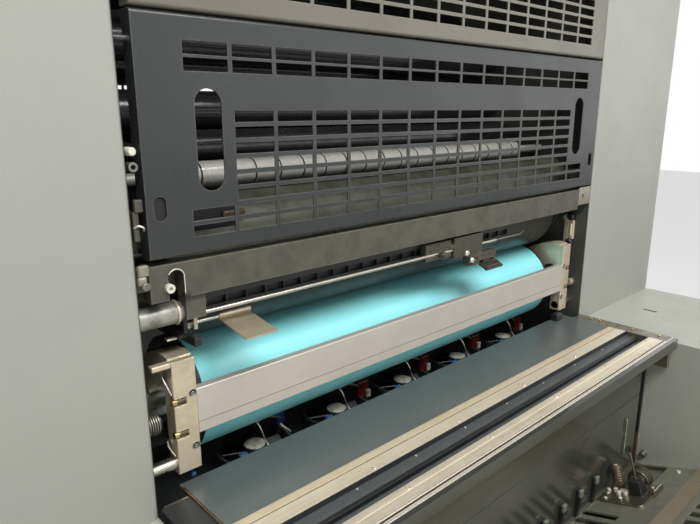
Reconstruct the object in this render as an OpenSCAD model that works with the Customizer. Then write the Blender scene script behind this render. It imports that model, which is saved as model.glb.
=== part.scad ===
// Printing unit of a sheet-fed offset press: one tower with its inker and its
// cylinders between two side housings, and the low bed that runs out in front.
// Millimetres. X is across the press, Y runs back from the front, Z is up.
// Heights and depths are worked out from the lower edge and the front plane
// of the swinging guard, because every piece of the face lines up with it.

/* [Tower] */
// Height of the tower from the floor to its roof
tower_h = 2120; // [2000:5:2300]
// Depth of the tower behind the guards
tower_depth = 880; // [820:5:1000]
// How far the low bed reaches out in front of the guards
front_reach = 560; // [470:5:700]
// Width over both side housings
overall_w = 2114; // [1980:2:2400]
// Height of the lower edge of the swinging guard above the floor
guard_z = 1170; // [1150:1:1190]
// Thickness of the roof pan
roof_t = 20; // [14:1:26]

/* [Guards] */
// Width of the guards on the face of the tower
guard_w = 1200; // [1190:1:1204]
// Height of each guard panel
guard_h = 307.6; // [300:0.2:312]
// Depth of the flange folded back round each guard
guard_flange = 25; // [16:1:28]
// Sheet thickness of the guards
guard_t = 2.5; // [1.5:0.1:4]
// Outer radius of the long folded edges of the guards
guard_edge_r = 5; // [4:0.5:8]
// Gap between one guard and the next above it
panel_gap = 3.4; // [3.2:0.1:6]
// Number of cells in the longest row of a guard
cell_columns = 15; // [13:2:15]
// Plain border between the longest row of cells and each side of a guard
cell_margin = 61.5; // [58:0.5:75]
// Width of the bar between two cells of a row
cell_bar = 6.4; // [4:0.2:9]
// Height of a cell in the ventilation band
band_cell_h = 16.5; // [12:0.5:17]
// Distance between the two rows of the ventilation band
band_pitch = 20.5; // [20:0.5:24]
// Height of the top of the ventilation band above the guard's lower edge
band_top = 276; // [270:1:284]
// Height of a cell in the viewing grid
grid_cell_h = 15; // [10:0.5:16]
// Distance from one row of the viewing grid to the next
grid_pitch = 21.5; // [20:0.1:22.5]
// Number of rows in the viewing grid
grid_rows = 8; // [6:1:8]
// Height of the top of the viewing grid above the guard's lower edge
grid_top = 189.5; // [186:0.5:196]
// Width of a hand slot
hand_slot_w = 40; // [34:1:46]
// Length of a hand slot
hand_slot_l = 134; // [110:1:140]
// Distance from the guard's side edge to the middle of a hand slot
hand_slot_x = 97; // [92:1:100]
// Height of the middle of a hand slot above the guard's lower edge
hand_slot_z = 151; // [146:1:154]
// Radius of the pivot pins of the swinging guard
guard_pin_r = 4; // [3:0.5:4.5]
// Depth of the guard's pivot behind its front face
guard_pin_y = 10; // [9:0.5:11]
// Depth of the guard's pivot below its upper edge
guard_pin_drop = 34; // [30:1:40]

/* [Side housings and frames] */
// Gap between the guards and the left upper housing
left_gap = 18; // [12:1:26]
// Gap between the guards and the right upper housing
right_gap = 4.5; // [4.5:0.5:12]
// How far the inner walls of the bed stand outside the guards
bed_gap = 20; // [18:1:24]
// How far the low housings stand back from the outer faces of the tower
low_setback = 4; // [2:1:12]
// Height of the shelf on the low housings above the floor
shelf_z = 798; // [780:1:808]
// Radius of the upright corners of the housings
corner_r = 10; // [6:1:16]
// Thickness of the cast side frames
frame_t = 56; // [50:1:64]
// How far the side frames stand back behind the housing edges
frame_inset = 2; // [1:0.5:4]
// Thickness of the housing's front and rear skin over the frame edge
skin_t = 3; // [2:0.5:4]
// Width of the joints between the doors of the housings
seam_w = 5; // [3:0.5:8]
// Depth of the joints between the doors of the housings
seam_d = 6; // [3:0.5:12]

/* [Bed] */
// Height of the levelling feet
foot_h = 60; // [45:1:80]
// Radius of the levelling feet
foot_r = 50; // [35:1:60]
// Height of the top of the cast bed above the floor
bed_z = 380; // [360:1:390]
// Sheet thickness of the sloping deck on the bed
deck_t = 6; // [4:0.5:8]
// Angle at which the deck rises towards the front
deck_slope = 18.4; // [15:0.2:20]
// Height of the deck's rear edge above the bed
deck_rise = 55; // [48:1:62]
// How far the deck's rear edge lies in front of the guards
deck_back = 184; // [182:1:190]
// Number of slots in the deck
deck_slots = 24; // [18:1:26]

/* [Cylinders and rollers] */
// Radius of the blanket cylinder over its blanket, and of the plate cylinder
cylinder_r = 98; // [94:0.5:98.5]
// Thickness of the blanket
blanket_t = 2; // [1.5:0.1:3]
// Distance from the guard's side edge to the end of the blanket
blanket_inset = 93; // [91:1:100]
// Depth of the cylinder axes behind the guards
cylinder_y = 150; // [149:0.5:156]
// Height of the blanket cylinder's axis below the guard's lower edge
blanket_drop = 265; // [262:1:267]
// Gap between the two cylinders when the impression is off
nip_gap = 0.6; // [0.3:0.1:1.2]
// Radius of the cylinder journals
journal_r = 45; // [36:1:52]
// Running clearance of shafts in their bores
running_fit = 0.05; // [0.03:0.01:0.1]
// Width of the clamping channel in each cylinder
channel_w = 36; // [26:1:44]
// Depth of the clamping channel in each cylinder
channel_d = 30; // [20:1:40]
// Radius of the chrome roller
chrome_r = 21; // [18:0.5:24]
// Distance from the guard's side edge to the end of the chrome roller
chrome_inset = 122; // [110:1:140]
// Distance between the grooves of the chrome roller
groove_pitch = 52; // [40:1:70]
// Radius of the ink rollers
ink_r = 30; // [26:0.5:32]

/* [Nip guard] */
// Height of the nip guard bar
nip_bar_h = 90; // [80:1:96]
// Thickness of the nip guard bar
nip_bar_t = 14; // [10:0.5:16]
// Distance from the guard's side edge to the end of the nip guard bar
nip_bar_inset = 64.5; // [63.5:0.5:66]
// Width of the nip guard arms
nip_arm_w = 37; // [30:0.5:44]
// Radius of the nip guard's pivot shaft
nip_shaft_r = 10; // [8:0.5:11]

/* [Tray] */
// Gap between the tray and the inner walls of the bed
tray_gap = 8; // [5:1:12]
// Width of the tray's end frames
tray_end_w = 41; // [36:1:46]
// Height of the tray above the shelf of the low housings
tray_rise = 15; // [10:1:20]
// Reach of the tray in front of the guards
tray_reach = 253; // [245:1:262]
// Width of the inner rail of the tray
rail_back_w = 44; // [38:1:50]
// Width of the outer rail of the tray
rail_front_w = 41; // [34:1:46]
// Thickness of the rails
rail_t = 12; // [9:0.5:16]
// Sheet thickness of the tray
tray_t = 6; // [4:0.5:8]

/* [Fans] */
// Number of cooling fans under the blanket cylinder
fan_count = 5; // [5:1:5]
// Distance from one fan to the next
fan_pitch = 197; // [180:1:205]
// Radius of the air hole of a fan
fan_bore_r = 66; // [60:1:68]
// Thickness of a fan
fan_t = 38; // [32:1:42]
// Clearance between the blade tips and the fan's ring
fan_tip_gap = 5; // [5:0.5:8]
// Radius of a fan's hub
fan_hub_r = 21; // [18:0.5:26]
// Number of blades on a fan
fan_blades = 7; // [5:1:9]

/* [Hidden] */
$fn = 48;
// Small overlap for cuts that run out through a face
cut = 1;
// Distance at which curved faces of touching pieces stand apart
seat = 0.3;

// Places the guard plane so that the whole press is centred on the origin
press_shift_y = (front_reach - tower_depth) / 2;
half_w = overall_w / 2;
half_guard = guard_w / 2;
left_inner = half_guard + left_gap;
right_inner = half_guard + right_gap;
bed_inner = half_guard + bed_gap;

// Frame plates: the inner and outer faces on each side
left_frame_in = left_inner + frame_inset;
right_frame_in = right_inner + frame_inset;
left_frame_out = left_frame_in + frame_t;
right_frame_out = right_frame_in + frame_t;
frame_y0 = skin_t;
frame_y1 = tower_depth - skin_t;
// How far the low housings reach down below the bed
cover_drop = 20;
roof_z = tower_h - roof_t;

// Guard panels, one above the other
upper_guard_z = guard_z + guard_h + panel_gap;
top_guard_z = upper_guard_z + guard_h + panel_gap;
top_guard_h = roof_z - panel_gap - top_guard_z;
guard_pin_z = guard_z + guard_h - guard_pin_drop;
cell_pitch = (guard_w - 2 * cell_margin) / cell_columns;
cell_w = cell_pitch - cell_bar;

// Lengths and axes of the cylinders and rollers
blanket_half = half_guard - blanket_inset;
chrome_half = half_guard - chrome_inset;
blanket_z = guard_z - blanket_drop;
plate_z = blanket_z + 2 * cylinder_r + nip_gap;
chrome_y = cylinder_y + 10;
chrome_z = guard_z + 90;
ink_y = cylinder_y + 78;
ink_z = chrome_z + 38;
chrome_journal_r = 9;
ink_journal_r = 12;

// Cross beam under the swinging guard
beam_y = 3;
beam_t = 24;
beam_drop = 8;
beam_h = 50;
beam_z = guard_z - beam_drop - beam_h;
beam_back = beam_y + beam_t;
beam_left = half_guard + 2;
beam_right = half_guard - 55;
notch_x = 35 - half_guard;

// Lug under the left end of the beam, with the rods and the pipe that it holds
lug_x0 = 50 - half_guard;
lug_x1 = 80 - half_guard;
lug_y0 = beam_y + 7;
lug_y1 = beam_y + 31;
lug_z = beam_z - 36;
long_rod_r = 3.5;
long_rod_y = beam_y + 11;
long_rod_z = beam_z - 31.4;
long_rod_end = half_guard / 3;
short_rod_r = 3;
short_rod_y = beam_y + 41;
short_rod_z = beam_z - 55;
flap_x = 132 - half_guard;
flap_w = 56;

// Blower strip behind the beam, with its row of nozzle cells
strip_x0 = 89 - half_guard;
strip_x1 = half_guard - 334;
strip_top = beam_z - 14;
strip_low = beam_z - 32;
strip_cells = 22;
strip_pitch = (strip_x1 - strip_x0) / strip_cells;

// Nip guard: the bar, its arms and the shaft they turn on
nip_bar_half = half_guard - nip_bar_inset;
nip_y = 25;
nip_bar_top = guard_z - 208.5;
nip_arm_top = guard_z - 157;
nip_arm_bottom = guard_z - 336;
nip_arm_t = 27;
nip_shaft_y = nip_y + nip_arm_t - nip_shaft_r - 3;
nip_shaft_z = nip_arm_bottom + nip_shaft_r + 4;
nip_arm_out = nip_bar_half + nip_arm_w;
nip_shaft_seat = 18;
// Curved cheek of an arm: its radii round the shaft and its rear end
cheek_r = 170;
cheek_inner_r = 112;
cheek_back_y = cylinder_y - 10;

// Tray in front of the cylinders
tray_half = bed_inner - tray_gap;
tray_plate_half = tray_half - tray_end_w;
tray_z = shelf_z + tray_rise;
tray_back_y = 33;
rail_back_y = -98;
step_y = rail_back_y - rail_back_w;
step_w = 31;
slot_gap = 26;
rail_front_y = step_y - step_w - slot_gap;
tray_lip_w = 13;
tray_skirt_w = 12;
tray_box_y = -tray_reach;
tray_drop = 10;

// Fans
fan_y = 107;
fan_x0 = 6;
fan_top_z = guard_z - 395;
fan_shelf_t = 6;
fan_shelf_z = fan_top_z - fan_t - fan_shelf_t;
fan_pin_r = 4;

// Sloping deck: its rear edge, the cross bar on it, and the row of slots
deck_back_y = -deck_back;
deck_back_z = bed_z + deck_rise;
deck_front_y = -front_reach + 40;
bar_back_y = deck_back_y - 154;
bar_w = 38;
bar_proud = 4;
deck_pitch = (2 * bed_inner - 328) / deck_slots;
deck_slot_w = 22;
deck_slot_l = 81;
deck_first_x = bed_inner - 301;
well_x = bed_inner - 220;
finger_pitch = 78;
finger_h = 71;

// Height of the top of the deck at a place in front of the guards
function deck_top(y) = deck_back_z + (deck_back_y - y) * tan(deck_slope);

function fan_x(i) = fan_x0 + (i - (fan_count - 1) / 2) * fan_pitch;

// Moves a piece from the guard plane into the centred frame of the press
module in_press()
  translate([0, press_shift_y, 0])
    children();

// Box from one corner to the opposite corner
module block(a, b)
  translate(a)
    cube(b - a);

// Sweeps an outline drawn in depth and height across the press
module across(x0, x1)
  translate([x0, 0, 0])
    rotate([90, 0, 90])
      linear_extrude(x1 - x0)
        children();

// Round bar across the press
module bar_x(r, x0, x1, y, z)
  translate([x0, y, z])
    rotate([0, 90, 0])
      cylinder(r = r, h = x1 - x0);

// Round bar or hole from front to back
module bar_y(r, y0, y1, x, z)
  translate([x, y1, z])
    rotate([90, 0, 0])
      cylinder(r = r, h = y1 - y0);

// Rectangle with one radius on every corner, its low corner at the origin
module round_rect(w, h, r) {
  translate([r, 0])
    square([w - 2 * r, h]);
  translate([0, r])
    square([w, h - 2 * r]);
  for (x = [r, w - r], y = [r, h - r])
    translate([x, y])
      circle(r);
}

// Upright box with rounded corners in plan
module round_block(a, b, r)
  translate(a)
    linear_extrude(b[2] - a[2])
      round_rect(b[0] - a[0], b[1] - a[1], r);

// Section of a folded guard: a front sheet with a flange above and below
module guard_section(h) {
  difference() {
    union() {
      translate([guard_edge_r, 0])
        square([guard_flange - guard_edge_r, h]);
      round_rect(2 * guard_edge_r, h, guard_edge_r);
    }
    translate([guard_t, guard_t])
      square([guard_flange, h - 2 * guard_t]);
  }
}

// Folded pan with a flange on all four sides, open at the back
module guard_pan(h) {
  across(-guard_w / 2, guard_w / 2)
    guard_section(h);
  for (x = [-guard_w / 2, guard_w / 2 - guard_t])
    across(x, x + guard_t)
      difference() {
        union() {
          translate([guard_edge_r, 0])
            square([guard_flange - guard_edge_r, h]);
          round_rect(2 * guard_edge_r, h, guard_edge_r);
        }
      }
}

// Rows of rectangular cells cut through the front sheet of a guard
module cell_rows(columns, rows, top, pitch, cell_h)
  for (c = [0 : columns - 1], r = [0 : rows - 1])
    translate([(c - (columns - 1) / 2) * cell_pitch - cell_w / 2, -cut, top - r * pitch - cell_h])
      cube([cell_w, guard_t + 2 * cut, cell_h]);

// Slot with round ends, standing upright
module upright_slot(x, z, w, l)
  translate([x, guard_t + cut, z])
    rotate([90, 0, 0])
      linear_extrude(guard_t + 2 * cut) {
        square([w, l - w], center = true);
        for (end = [-1, 1])
          translate([0, end * (l - w) / 2])
            circle(w / 2);
      }

module base_frame() in_press() color("#5a5c58") {
  difference() {
    union() {
      block([-bed_inner, -front_reach, foot_h], [bed_inner, frame_y0, bed_z]);
      block([-left_frame_out, frame_y0, foot_h], [right_frame_out, frame_y1, bed_z]);
    }
    // Drain channel along the front of the bed
    block([-bed_inner + 60, deck_front_y + 10, bed_z - 30], [bed_inner - 60, deck_front_y + 70, bed_z + cut]);
  }
}

// Round pad with the stem that screws into the machine above it
module levelling_foot(stem_h) {
  cylinder(r = foot_r, h = foot_h / 3);
  cylinder(r = foot_r * 0.45, h = stem_h);
}

module levelling_feet() in_press() color("#3c3d3c")
  for (y = [-front_reach + 90, frame_y0 + 60, frame_y1 - 90], side = [-1, 1]) {
    translate([side * (bed_inner - 80), y, 0])
      levelling_foot(foot_h);
    translate([side * (half_w - 110), y, 0])
      levelling_foot(foot_h - cover_drop);
  }

module frame_plate(x_in, x_out) {
  low = min(x_in, x_out);
  high = max(x_in, x_out);
  boss = 8;
  x_boss = x_in > 0 ? x_in - boss : x_in + boss;
  difference() {
    union() {
      across(low, high)
        polygon([
          [frame_y0, bed_z], [frame_y1, bed_z], [frame_y1, roof_z - 120], [frame_y1 - 120, roof_z],
          [frame_y0 + 60, roof_z], [frame_y0, roof_z - 60]
        ]);
      for (z = [blanket_z, plate_z])
        bar_x(journal_r + 22, min(x_in, x_boss), max(x_in, x_boss), cylinder_y, z);
    }
    for (z = [blanket_z, plate_z])
      bar_x(journal_r + running_fit, low - boss - cut, high + boss + cut, cylinder_y, z);
    bar_x(chrome_journal_r + running_fit, low - cut, high + cut, chrome_y, chrome_z);
    bar_x(ink_journal_r + running_fit, low - cut, high + cut, ink_y, ink_z);
    bar_x(guard_pin_r + running_fit, low - cut, high + cut, guard_pin_y, guard_pin_z);
    bar_x(nip_shaft_r + running_fit, low - cut, high + cut, nip_shaft_y, nip_shaft_z);
  }
}

module left_side_frame() in_press() color("#7d8378")
  frame_plate(-left_frame_in, -left_frame_out);

module right_side_frame() in_press() color("#7d8378")
  frame_plate(right_frame_in, right_frame_out);

// Joint lines of the doors on the outer face of a housing
module door_seams(y0, y1, z0, z1, doors) {
  step = (y1 - y0) / doors;
  for (i = [0 : doors])
    translate([-cut, y0 + i * step - seam_w / 2, z0])
      cube([seam_d + cut, seam_w, z1 - z0 + seam_w]);
  for (z = [z0, z1])
    translate([-cut, y0 - seam_w / 2, z])
      cube([seam_d + cut, y1 - y0 + seam_w, seam_w]);
}

// Tall closed housing outside one side frame, with skins over the frame edges
module upper_cover(inner, frame_out) {
  difference() {
    round_block([inner, 0, shelf_z], [half_w, tower_depth, roof_z], corner_r);
    block([inner - cut, frame_y0, shelf_z - cut], [frame_out, frame_y1, roof_z + cut]);
    translate([half_w, 0, 0])
      mirror([1, 0, 0])
        door_seams(60, tower_depth - 60, shelf_z + 60, roof_z - 70, 2);
  }
}

module right_upper_cover() in_press() color("#a5aaa0")
  upper_cover(right_inner, right_frame_out);

module left_upper_cover() in_press() color("#a5aaa0")
  mirror([1, 0, 0])
    upper_cover(left_inner, left_frame_out);

// Low closed housing that carries the shelf beside the bed
module lower_cover(frame_out) {
  outer = half_w - low_setback;
  difference() {
    round_block([bed_inner, -front_reach, foot_h - cover_drop], [outer, tower_depth, shelf_z], corner_r);
    block([bed_inner - cut, frame_y0, foot_h - cover_drop - cut], [frame_out, frame_y1, shelf_z + cut]);
    translate([outer, 0, 0])
      mirror([1, 0, 0])
        door_seams(60 - front_reach, tower_depth - 60, foot_h + 60, shelf_z - 70, 3);
    // Vent slot in the shelf
    block([829 - 6, -120, shelf_z - 25], [829 + 6, -82, shelf_z + cut]);
  }
}

module right_lower_cover() in_press() color("#9a9f96")
  lower_cover(right_frame_out);

module left_lower_cover() in_press() color("#9a9f96")
  mirror([1, 0, 0])
    lower_cover(left_frame_out);

module roof_cover() in_press() color("#9a9f96")
  difference() {
    round_block([-half_w, 0, roof_z], [half_w, tower_depth, tower_h], corner_r);
    // Shallow tread field on the roof
    block([-half_w + 60, 60, tower_h - 3], [half_w - 60, tower_depth - 60, tower_h + cut]);
  }

// Ribs that hold a fixed guard between the side frames
module guard_lugs(h, y0, y1)
  for (x = [[-left_frame_in, -guard_w / 2], [guard_w / 2, right_frame_in]], z = [40, h - 60])
    block([x[0], y0, z], [x[1], y1, z + 20]);

module upper_guard() in_press() color("#565b5b")
  translate([0, 0, upper_guard_z]) {
    difference() {
      guard_pan(guard_h);
      cell_rows(cell_columns, 11, 254, 21, grid_cell_h);
    }
    guard_lugs(guard_h, frame_y0 + 2, guard_flange);
  }

module top_guard() in_press() color("#565b5b")
  translate([0, 0, top_guard_z]) {
    difference() {
      guard_pan(top_guard_h);
      cell_rows(cell_columns, 2, top_guard_h - 30, band_pitch, band_cell_h);
    }
    guard_lugs(top_guard_h, frame_y0 + 2, guard_flange);
  }

module main_guard() in_press() color("#565b5b")
  translate([0, 0, guard_z]) {
    difference() {
      guard_pan(guard_h);
      cell_rows(cell_columns, 2, band_top, band_pitch, band_cell_h);
      cell_rows(cell_columns - 2, grid_rows, grid_top, grid_pitch, grid_cell_h);
      cell_rows(cell_columns, 2, grid_top - (grid_rows - 2) * grid_pitch, grid_pitch, grid_cell_h);
      for (side = [-1, 1]) {
        upright_slot(side * (guard_w / 2 - hand_slot_x), hand_slot_z, hand_slot_w, hand_slot_l);
        upright_slot(side * (guard_w / 2 - 19.5), 67, 17, 32);
      }
    }
    bar_x(guard_pin_r, -left_frame_in - 20, -guard_w / 2, guard_pin_y, guard_h - guard_pin_drop);
    bar_x(guard_pin_r, guard_w / 2, right_frame_in + 20, guard_pin_y, guard_h - guard_pin_drop);
  }

module rear_guard() in_press() color("#565b5b")
  translate([0, tower_depth, 0])
    mirror([0, 1, 0])
      for (i = [0 : 1])
        translate([0, 0, guard_z + i * (guard_h + panel_gap)]) {
          difference() {
            guard_pan(guard_h);
            cell_rows(cell_columns, 2, band_top, band_pitch, band_cell_h);
          }
          guard_lugs(guard_h, frame_y0 + 2, guard_flange);
        }

module rear_panel() in_press() color("#9a9f96")
  translate([0, tower_depth, 0])
    mirror([0, 1, 0]) {
      translate([0, 0, bed_z])
        guard_pan(guard_z - panel_gap - bed_z);
      translate([0, 0, top_guard_z])
        guard_pan(top_guard_h);
      for (z = [bed_z + 40, top_guard_z])
        translate([0, 0, z])
          guard_lugs(120, frame_y0 + 2, guard_flange);
    }

module cross_beam() in_press() color("#5f5c55") {
  notch_w = 23;
  notch_h = 30;
  difference() {
    block([-beam_left, beam_y, beam_z], [beam_right, beam_back, beam_z + beam_h]);
    // Round-topped notch for the ring roller
    bar_y(notch_w / 2, beam_y - cut, beam_back + cut, notch_x, beam_z + notch_h);
    block([notch_x - notch_w / 2, beam_y - cut, beam_z - cut],
          [notch_x + notch_w / 2, beam_back + cut, beam_z + notch_h]);
  }
  // Bolted end against the left side frame
  block([-left_frame_in, beam_y + 4, beam_z + 18], [-beam_left, beam_back - 2, beam_z + beam_h - 2]);
  // Stepped end plate against the right side frame
  difference() {
    block([beam_right, beam_y + 1, beam_z + 9], [right_frame_in, beam_back - 4, beam_z + beam_h]);
    bar_y(3, beam_y, beam_y + 12, beam_right + 19, beam_z + beam_h - 18);
  }
  // Lug that holds the rods and the pipe
  block([lug_x0, lug_y0, lug_z], [lug_x1, lug_y1, beam_z]);
}

module beam_ring_roller() in_press() color("#d8d6cc") {
  ring_r = 6.2;
  x = notch_x - 11.5;
  z = beam_z + 18;
  difference() {
    bar_y(ring_r, beam_y - 7, beam_y, x, z);
    bar_y(ring_r * 0.42, beam_y - 8, beam_y - 2, x, z);
  }
}

module blower_strip() in_press() color("#1f2022") {
  rib = 1.2;
  difference() {
    block([strip_x0, beam_back, strip_low], [strip_x1, beam_back + 12, strip_top]);
    for (i = [0 : strip_cells - 1])
      block([strip_x0 + i * strip_pitch + rib, beam_back - cut, strip_low + 3],
            [strip_x0 + (i + 1) * strip_pitch - rib, beam_back + 8, strip_top - 3]);
  }
  // Thin web that fixes the strip to the back of the beam
  block([strip_x0, beam_back, strip_top], [strip_x1, beam_back + 3, beam_z + beam_h - 12]);
}

module guide_rods() in_press() color("#c9c4b4") {
  // Long rod along the strip, with the tabs that tie it to the strip
  bar_x(long_rod_r, lug_x1, long_rod_end, long_rod_y, long_rod_z);
  for (x = [lug_x1 + 40, long_rod_end - 12])
    block([x, long_rod_y, long_rod_z - 1.6], [x + 6, beam_back, long_rod_z + 1.6]);
  // Short stop rod with its knob, hung from the lug
  bar_x(short_rod_r, lug_x0 + 18, flap_x + 41, short_rod_y, short_rod_z);
  bar_x(8, lug_x0 + 9 + seat, lug_x0 + 18, short_rod_y, short_rod_z);
  block([lug_x0 + 18, lug_y1 - 8, short_rod_z - 4], [lug_x0 + 24, short_rod_y + 4, lug_z]);
}

module support_pipe() in_press() color("#8b8d8a") {
  y = beam_y + 27;
  z = beam_z - 27;
  bar_x(16, -left_frame_in, lug_x0 - 10, y, z);
  bar_x(17.5, lug_x0 - 10, lug_x0 - 6, y, z);
  bar_x(14, lug_x0 - 6, lug_x0, y, z);
}

// Black finger that points forward below the pipe, with the post that holds it
module stop_finger() in_press() color("#1c1d1f") {
  low = beam_z - 70;
  block([lug_x0 - 1, beam_y - 13, low], [lug_x0 + 9, beam_y + 59, low + 12]);
  block([lug_x0 + 1, lug_y1 - 10, low + 12], [lug_x0 + 7, lug_y1, lug_z]);
}

// Solid of a cylinder with its shoulders and journals
module press_roll(r, half, shoulder_r, shoulder_half, z) {
  bar_x(r, -half, half, cylinder_y, z);
  bar_x(shoulder_r, -shoulder_half, shoulder_half, cylinder_y, z);
  bar_x(journal_r, -left_frame_out + 2, right_frame_out - 2, cylinder_y, z);
}

// Clamping channel along a cylinder, open towards the given side
module channel(r, half, z, angle)
  translate([0, cylinder_y, z])
    rotate([angle, 0, 0])
      block([-half - cut, r - channel_d, -channel_w / 2], [half + cut, r + cut, channel_w / 2]);

module blanket_cylinder() in_press() color("#9c9e9c")
  difference() {
    press_roll(cylinder_r - blanket_t, blanket_half, cylinder_r - 12, blanket_half + 21, blanket_z);
    channel(cylinder_r - blanket_t, blanket_half + 21, blanket_z, -30);
  }

module bearer_rings() in_press() color("#202224")
  for (x = [-blanket_half - 11, blanket_half + seat])
    difference() {
      bar_x(cylinder_r - 1, x, x + 11 - seat, cylinder_y, blanket_z);
      bar_x(cylinder_r - 12 + running_fit, x - cut, x + 12, cylinder_y, blanket_z);
    }

module blanket() in_press() color("#5abfcb")
  difference() {
    bar_x(cylinder_r, -blanket_half, blanket_half, cylinder_y, blanket_z);
    bar_x(cylinder_r - blanket_t + running_fit, -blanket_half - cut, blanket_half + cut,
          cylinder_y, blanket_z);
    channel(cylinder_r, blanket_half, blanket_z, -30);
  }

module plate_cylinder() in_press() color("#a9aca6")
  difference() {
    press_roll(cylinder_r, blanket_half + 8, cylinder_r - 12, blanket_half + 21, plate_z);
    channel(cylinder_r, blanket_half + 21, plate_z, 20);
  }

module plate_guide_shell() in_press() color("#a9ad9c") {
  r = 104;
  y = cylinder_y - 10;
  z = guard_z - 20;
  t = 2.5;
  half = 560;
  difference() {
    bar_x(r, -half, half, y, z);
    bar_x(r - t, -half - cut, half + cut, y, z);
    block([-half - cut, y - 55, z - r - cut], [half + cut, y + r + cut, z + r + cut]);
    block([-half - cut, y - r - cut, z - r - cut], [half + cut, y + r + cut, beam_z + 2]);
  }
  // Ears at both ends, fixed to the side frames
  for (x = [[-left_frame_in, -half], [half, right_frame_in]])
    block([x[0], 44, z + 30], [x[1], 56, z + 60]);
}

module chrome_roller() in_press() color("#e2e0d6") {
  groove = 3;
  depth = 1.5;
  count = floor(2 * (chrome_half - 20) / groove_pitch);
  bar_x(chrome_journal_r, -left_frame_out + 2, right_frame_out - 2, chrome_y, chrome_z);
  difference() {
    bar_x(chrome_r, -chrome_half, chrome_half, chrome_y, chrome_z);
    for (i = [0 : count])
      translate([(i - count / 2) * groove_pitch - groove / 2, chrome_y, chrome_z])
        rotate([0, 90, 0])
          difference() {
            cylinder(r = chrome_r + cut, h = groove);
            translate([0, 0, -cut])
              cylinder(r = chrome_r - depth, h = groove + 2 * cut);
          }
  }
}

module ink_roller() in_press() color("#2a2a2c") {
  bar_x(ink_journal_r, -left_frame_out + 2, right_frame_out - 2, ink_y, ink_z);
  bar_x(ink_r, -chrome_half - 30, chrome_half + 30, ink_y, ink_z);
}

module hidden_rollers() in_press() color("#3b3b3d")
  for (p = [[70, 120, 38], [150, 60, 36], [180, 210, 40], [80, 240, 34], [160, 340, 42]]) {
    y = ink_y + p[0] + 20;
    z = ink_z + p[1] - 60;
    bar_x(p[2], -chrome_half - 30, chrome_half + 30, y, z);
    bar_x(ink_journal_r, -left_frame_in, right_frame_in, y, z);
  }

module nip_guard_bar() in_press() color("#b9ada0")
  difference() {
    block([-nip_bar_half, nip_y, nip_bar_top - nip_bar_h], [nip_bar_half, nip_y + nip_bar_t, nip_bar_top]);
    // Long relief behind the front face
    block([-nip_bar_half + 30, nip_y + 5, nip_bar_top - nip_bar_h + 8],
          [nip_bar_half - 30, nip_y + nip_bar_t + cut, nip_bar_top - 8]);
  }

// Cast arm with two pockets, two counterbored screw holes and a curved cheek behind it
module nip_arm() {
  pocket_w = 14;
  arm_back = nip_y + nip_arm_t;
  // Cheek round the shaft's axis, cut away where the cylinder's journal runs
  difference() {
    bar_x(cheek_r, nip_bar_half, nip_arm_out, nip_shaft_y, nip_shaft_z);
    bar_x(cheek_inner_r, nip_bar_half - cut, nip_arm_out + cut, nip_shaft_y, nip_shaft_z);
    bar_x(journal_r + 8, nip_bar_half - cut, nip_arm_out + cut, cylinder_y, blanket_z);
    block([nip_bar_half - cut, nip_shaft_y - cheek_r - cut, nip_shaft_z - cheek_r - cut],
          [nip_arm_out + cut, arm_back - 1, nip_shaft_z + cheek_r + cut]);
    block([nip_bar_half - cut, cheek_back_y, nip_shaft_z - cheek_r - cut],
          [nip_arm_out + cut, nip_shaft_y + cheek_r + cut, nip_shaft_z + cheek_r + cut]);
    block([nip_bar_half - cut, nip_shaft_y - cut, nip_shaft_z - cheek_r - cut],
          [nip_arm_out + cut, cheek_back_y + cut, nip_shaft_z + 30]);
  }
  difference() {
    block([nip_bar_half, nip_y, nip_arm_bottom], [nip_arm_out, nip_y + nip_arm_t, nip_arm_top]);
    for (z = [nip_arm_bottom + 50, nip_arm_bottom + 104])
      block([nip_arm_out - 4 - pocket_w, nip_y - cut, z], [nip_arm_out - 4, nip_y + 12, z + 12]);
    for (z = [nip_arm_bottom + 34, nip_arm_bottom + 112]) {
      bar_y(3.5, nip_y - cut, nip_y + nip_arm_t + cut, nip_bar_half + 9, z);
      bar_y(6, nip_y - cut, nip_y + 6, nip_bar_half + 9, z);
    }
    bar_x(nip_shaft_r, nip_bar_half - cut, nip_arm_out + cut, nip_shaft_y, nip_shaft_z);
  }
  // Lip turned outwards at the top
  block([nip_arm_out, nip_y + 2, nip_arm_top - 12], [nip_arm_out + 18, arm_back, nip_arm_top]);
}

module nip_guard_arms() in_press() color("#c5bca6") {
  nip_arm();
  mirror([1, 0, 0])
    nip_arm();
}

// One stub on each side, pressed into the arm and turning in the side frame
module nip_guard_shaft() in_press() color("#b5b2a8") {
  bar_x(nip_shaft_r, -left_frame_in - nip_shaft_seat, -nip_bar_half, nip_shaft_y, nip_shaft_z);
  bar_x(nip_shaft_r, nip_bar_half, right_frame_in + nip_shaft_seat, nip_shaft_y, nip_shaft_z);
}

module frame_link() in_press() color("#c8c4b8") {
  x = right_frame_in;
  block([x - 9, 50, guard_z - 172], [x, 62, guard_z - 84]);
  for (z = [guard_z - 92, guard_z - 164])
    bar_x(8, x - 14, x - 9, 56, z);
  // Stop knob lower down on the frame
  bar_x(9, x - 16, x, 34, guard_z - 268);
}

module tray_plate() in_press() color("#4c585b")
  block([-tray_plate_half, rail_back_y, tray_z - tray_t], [tray_plate_half, tray_back_y, tray_z]);

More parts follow.
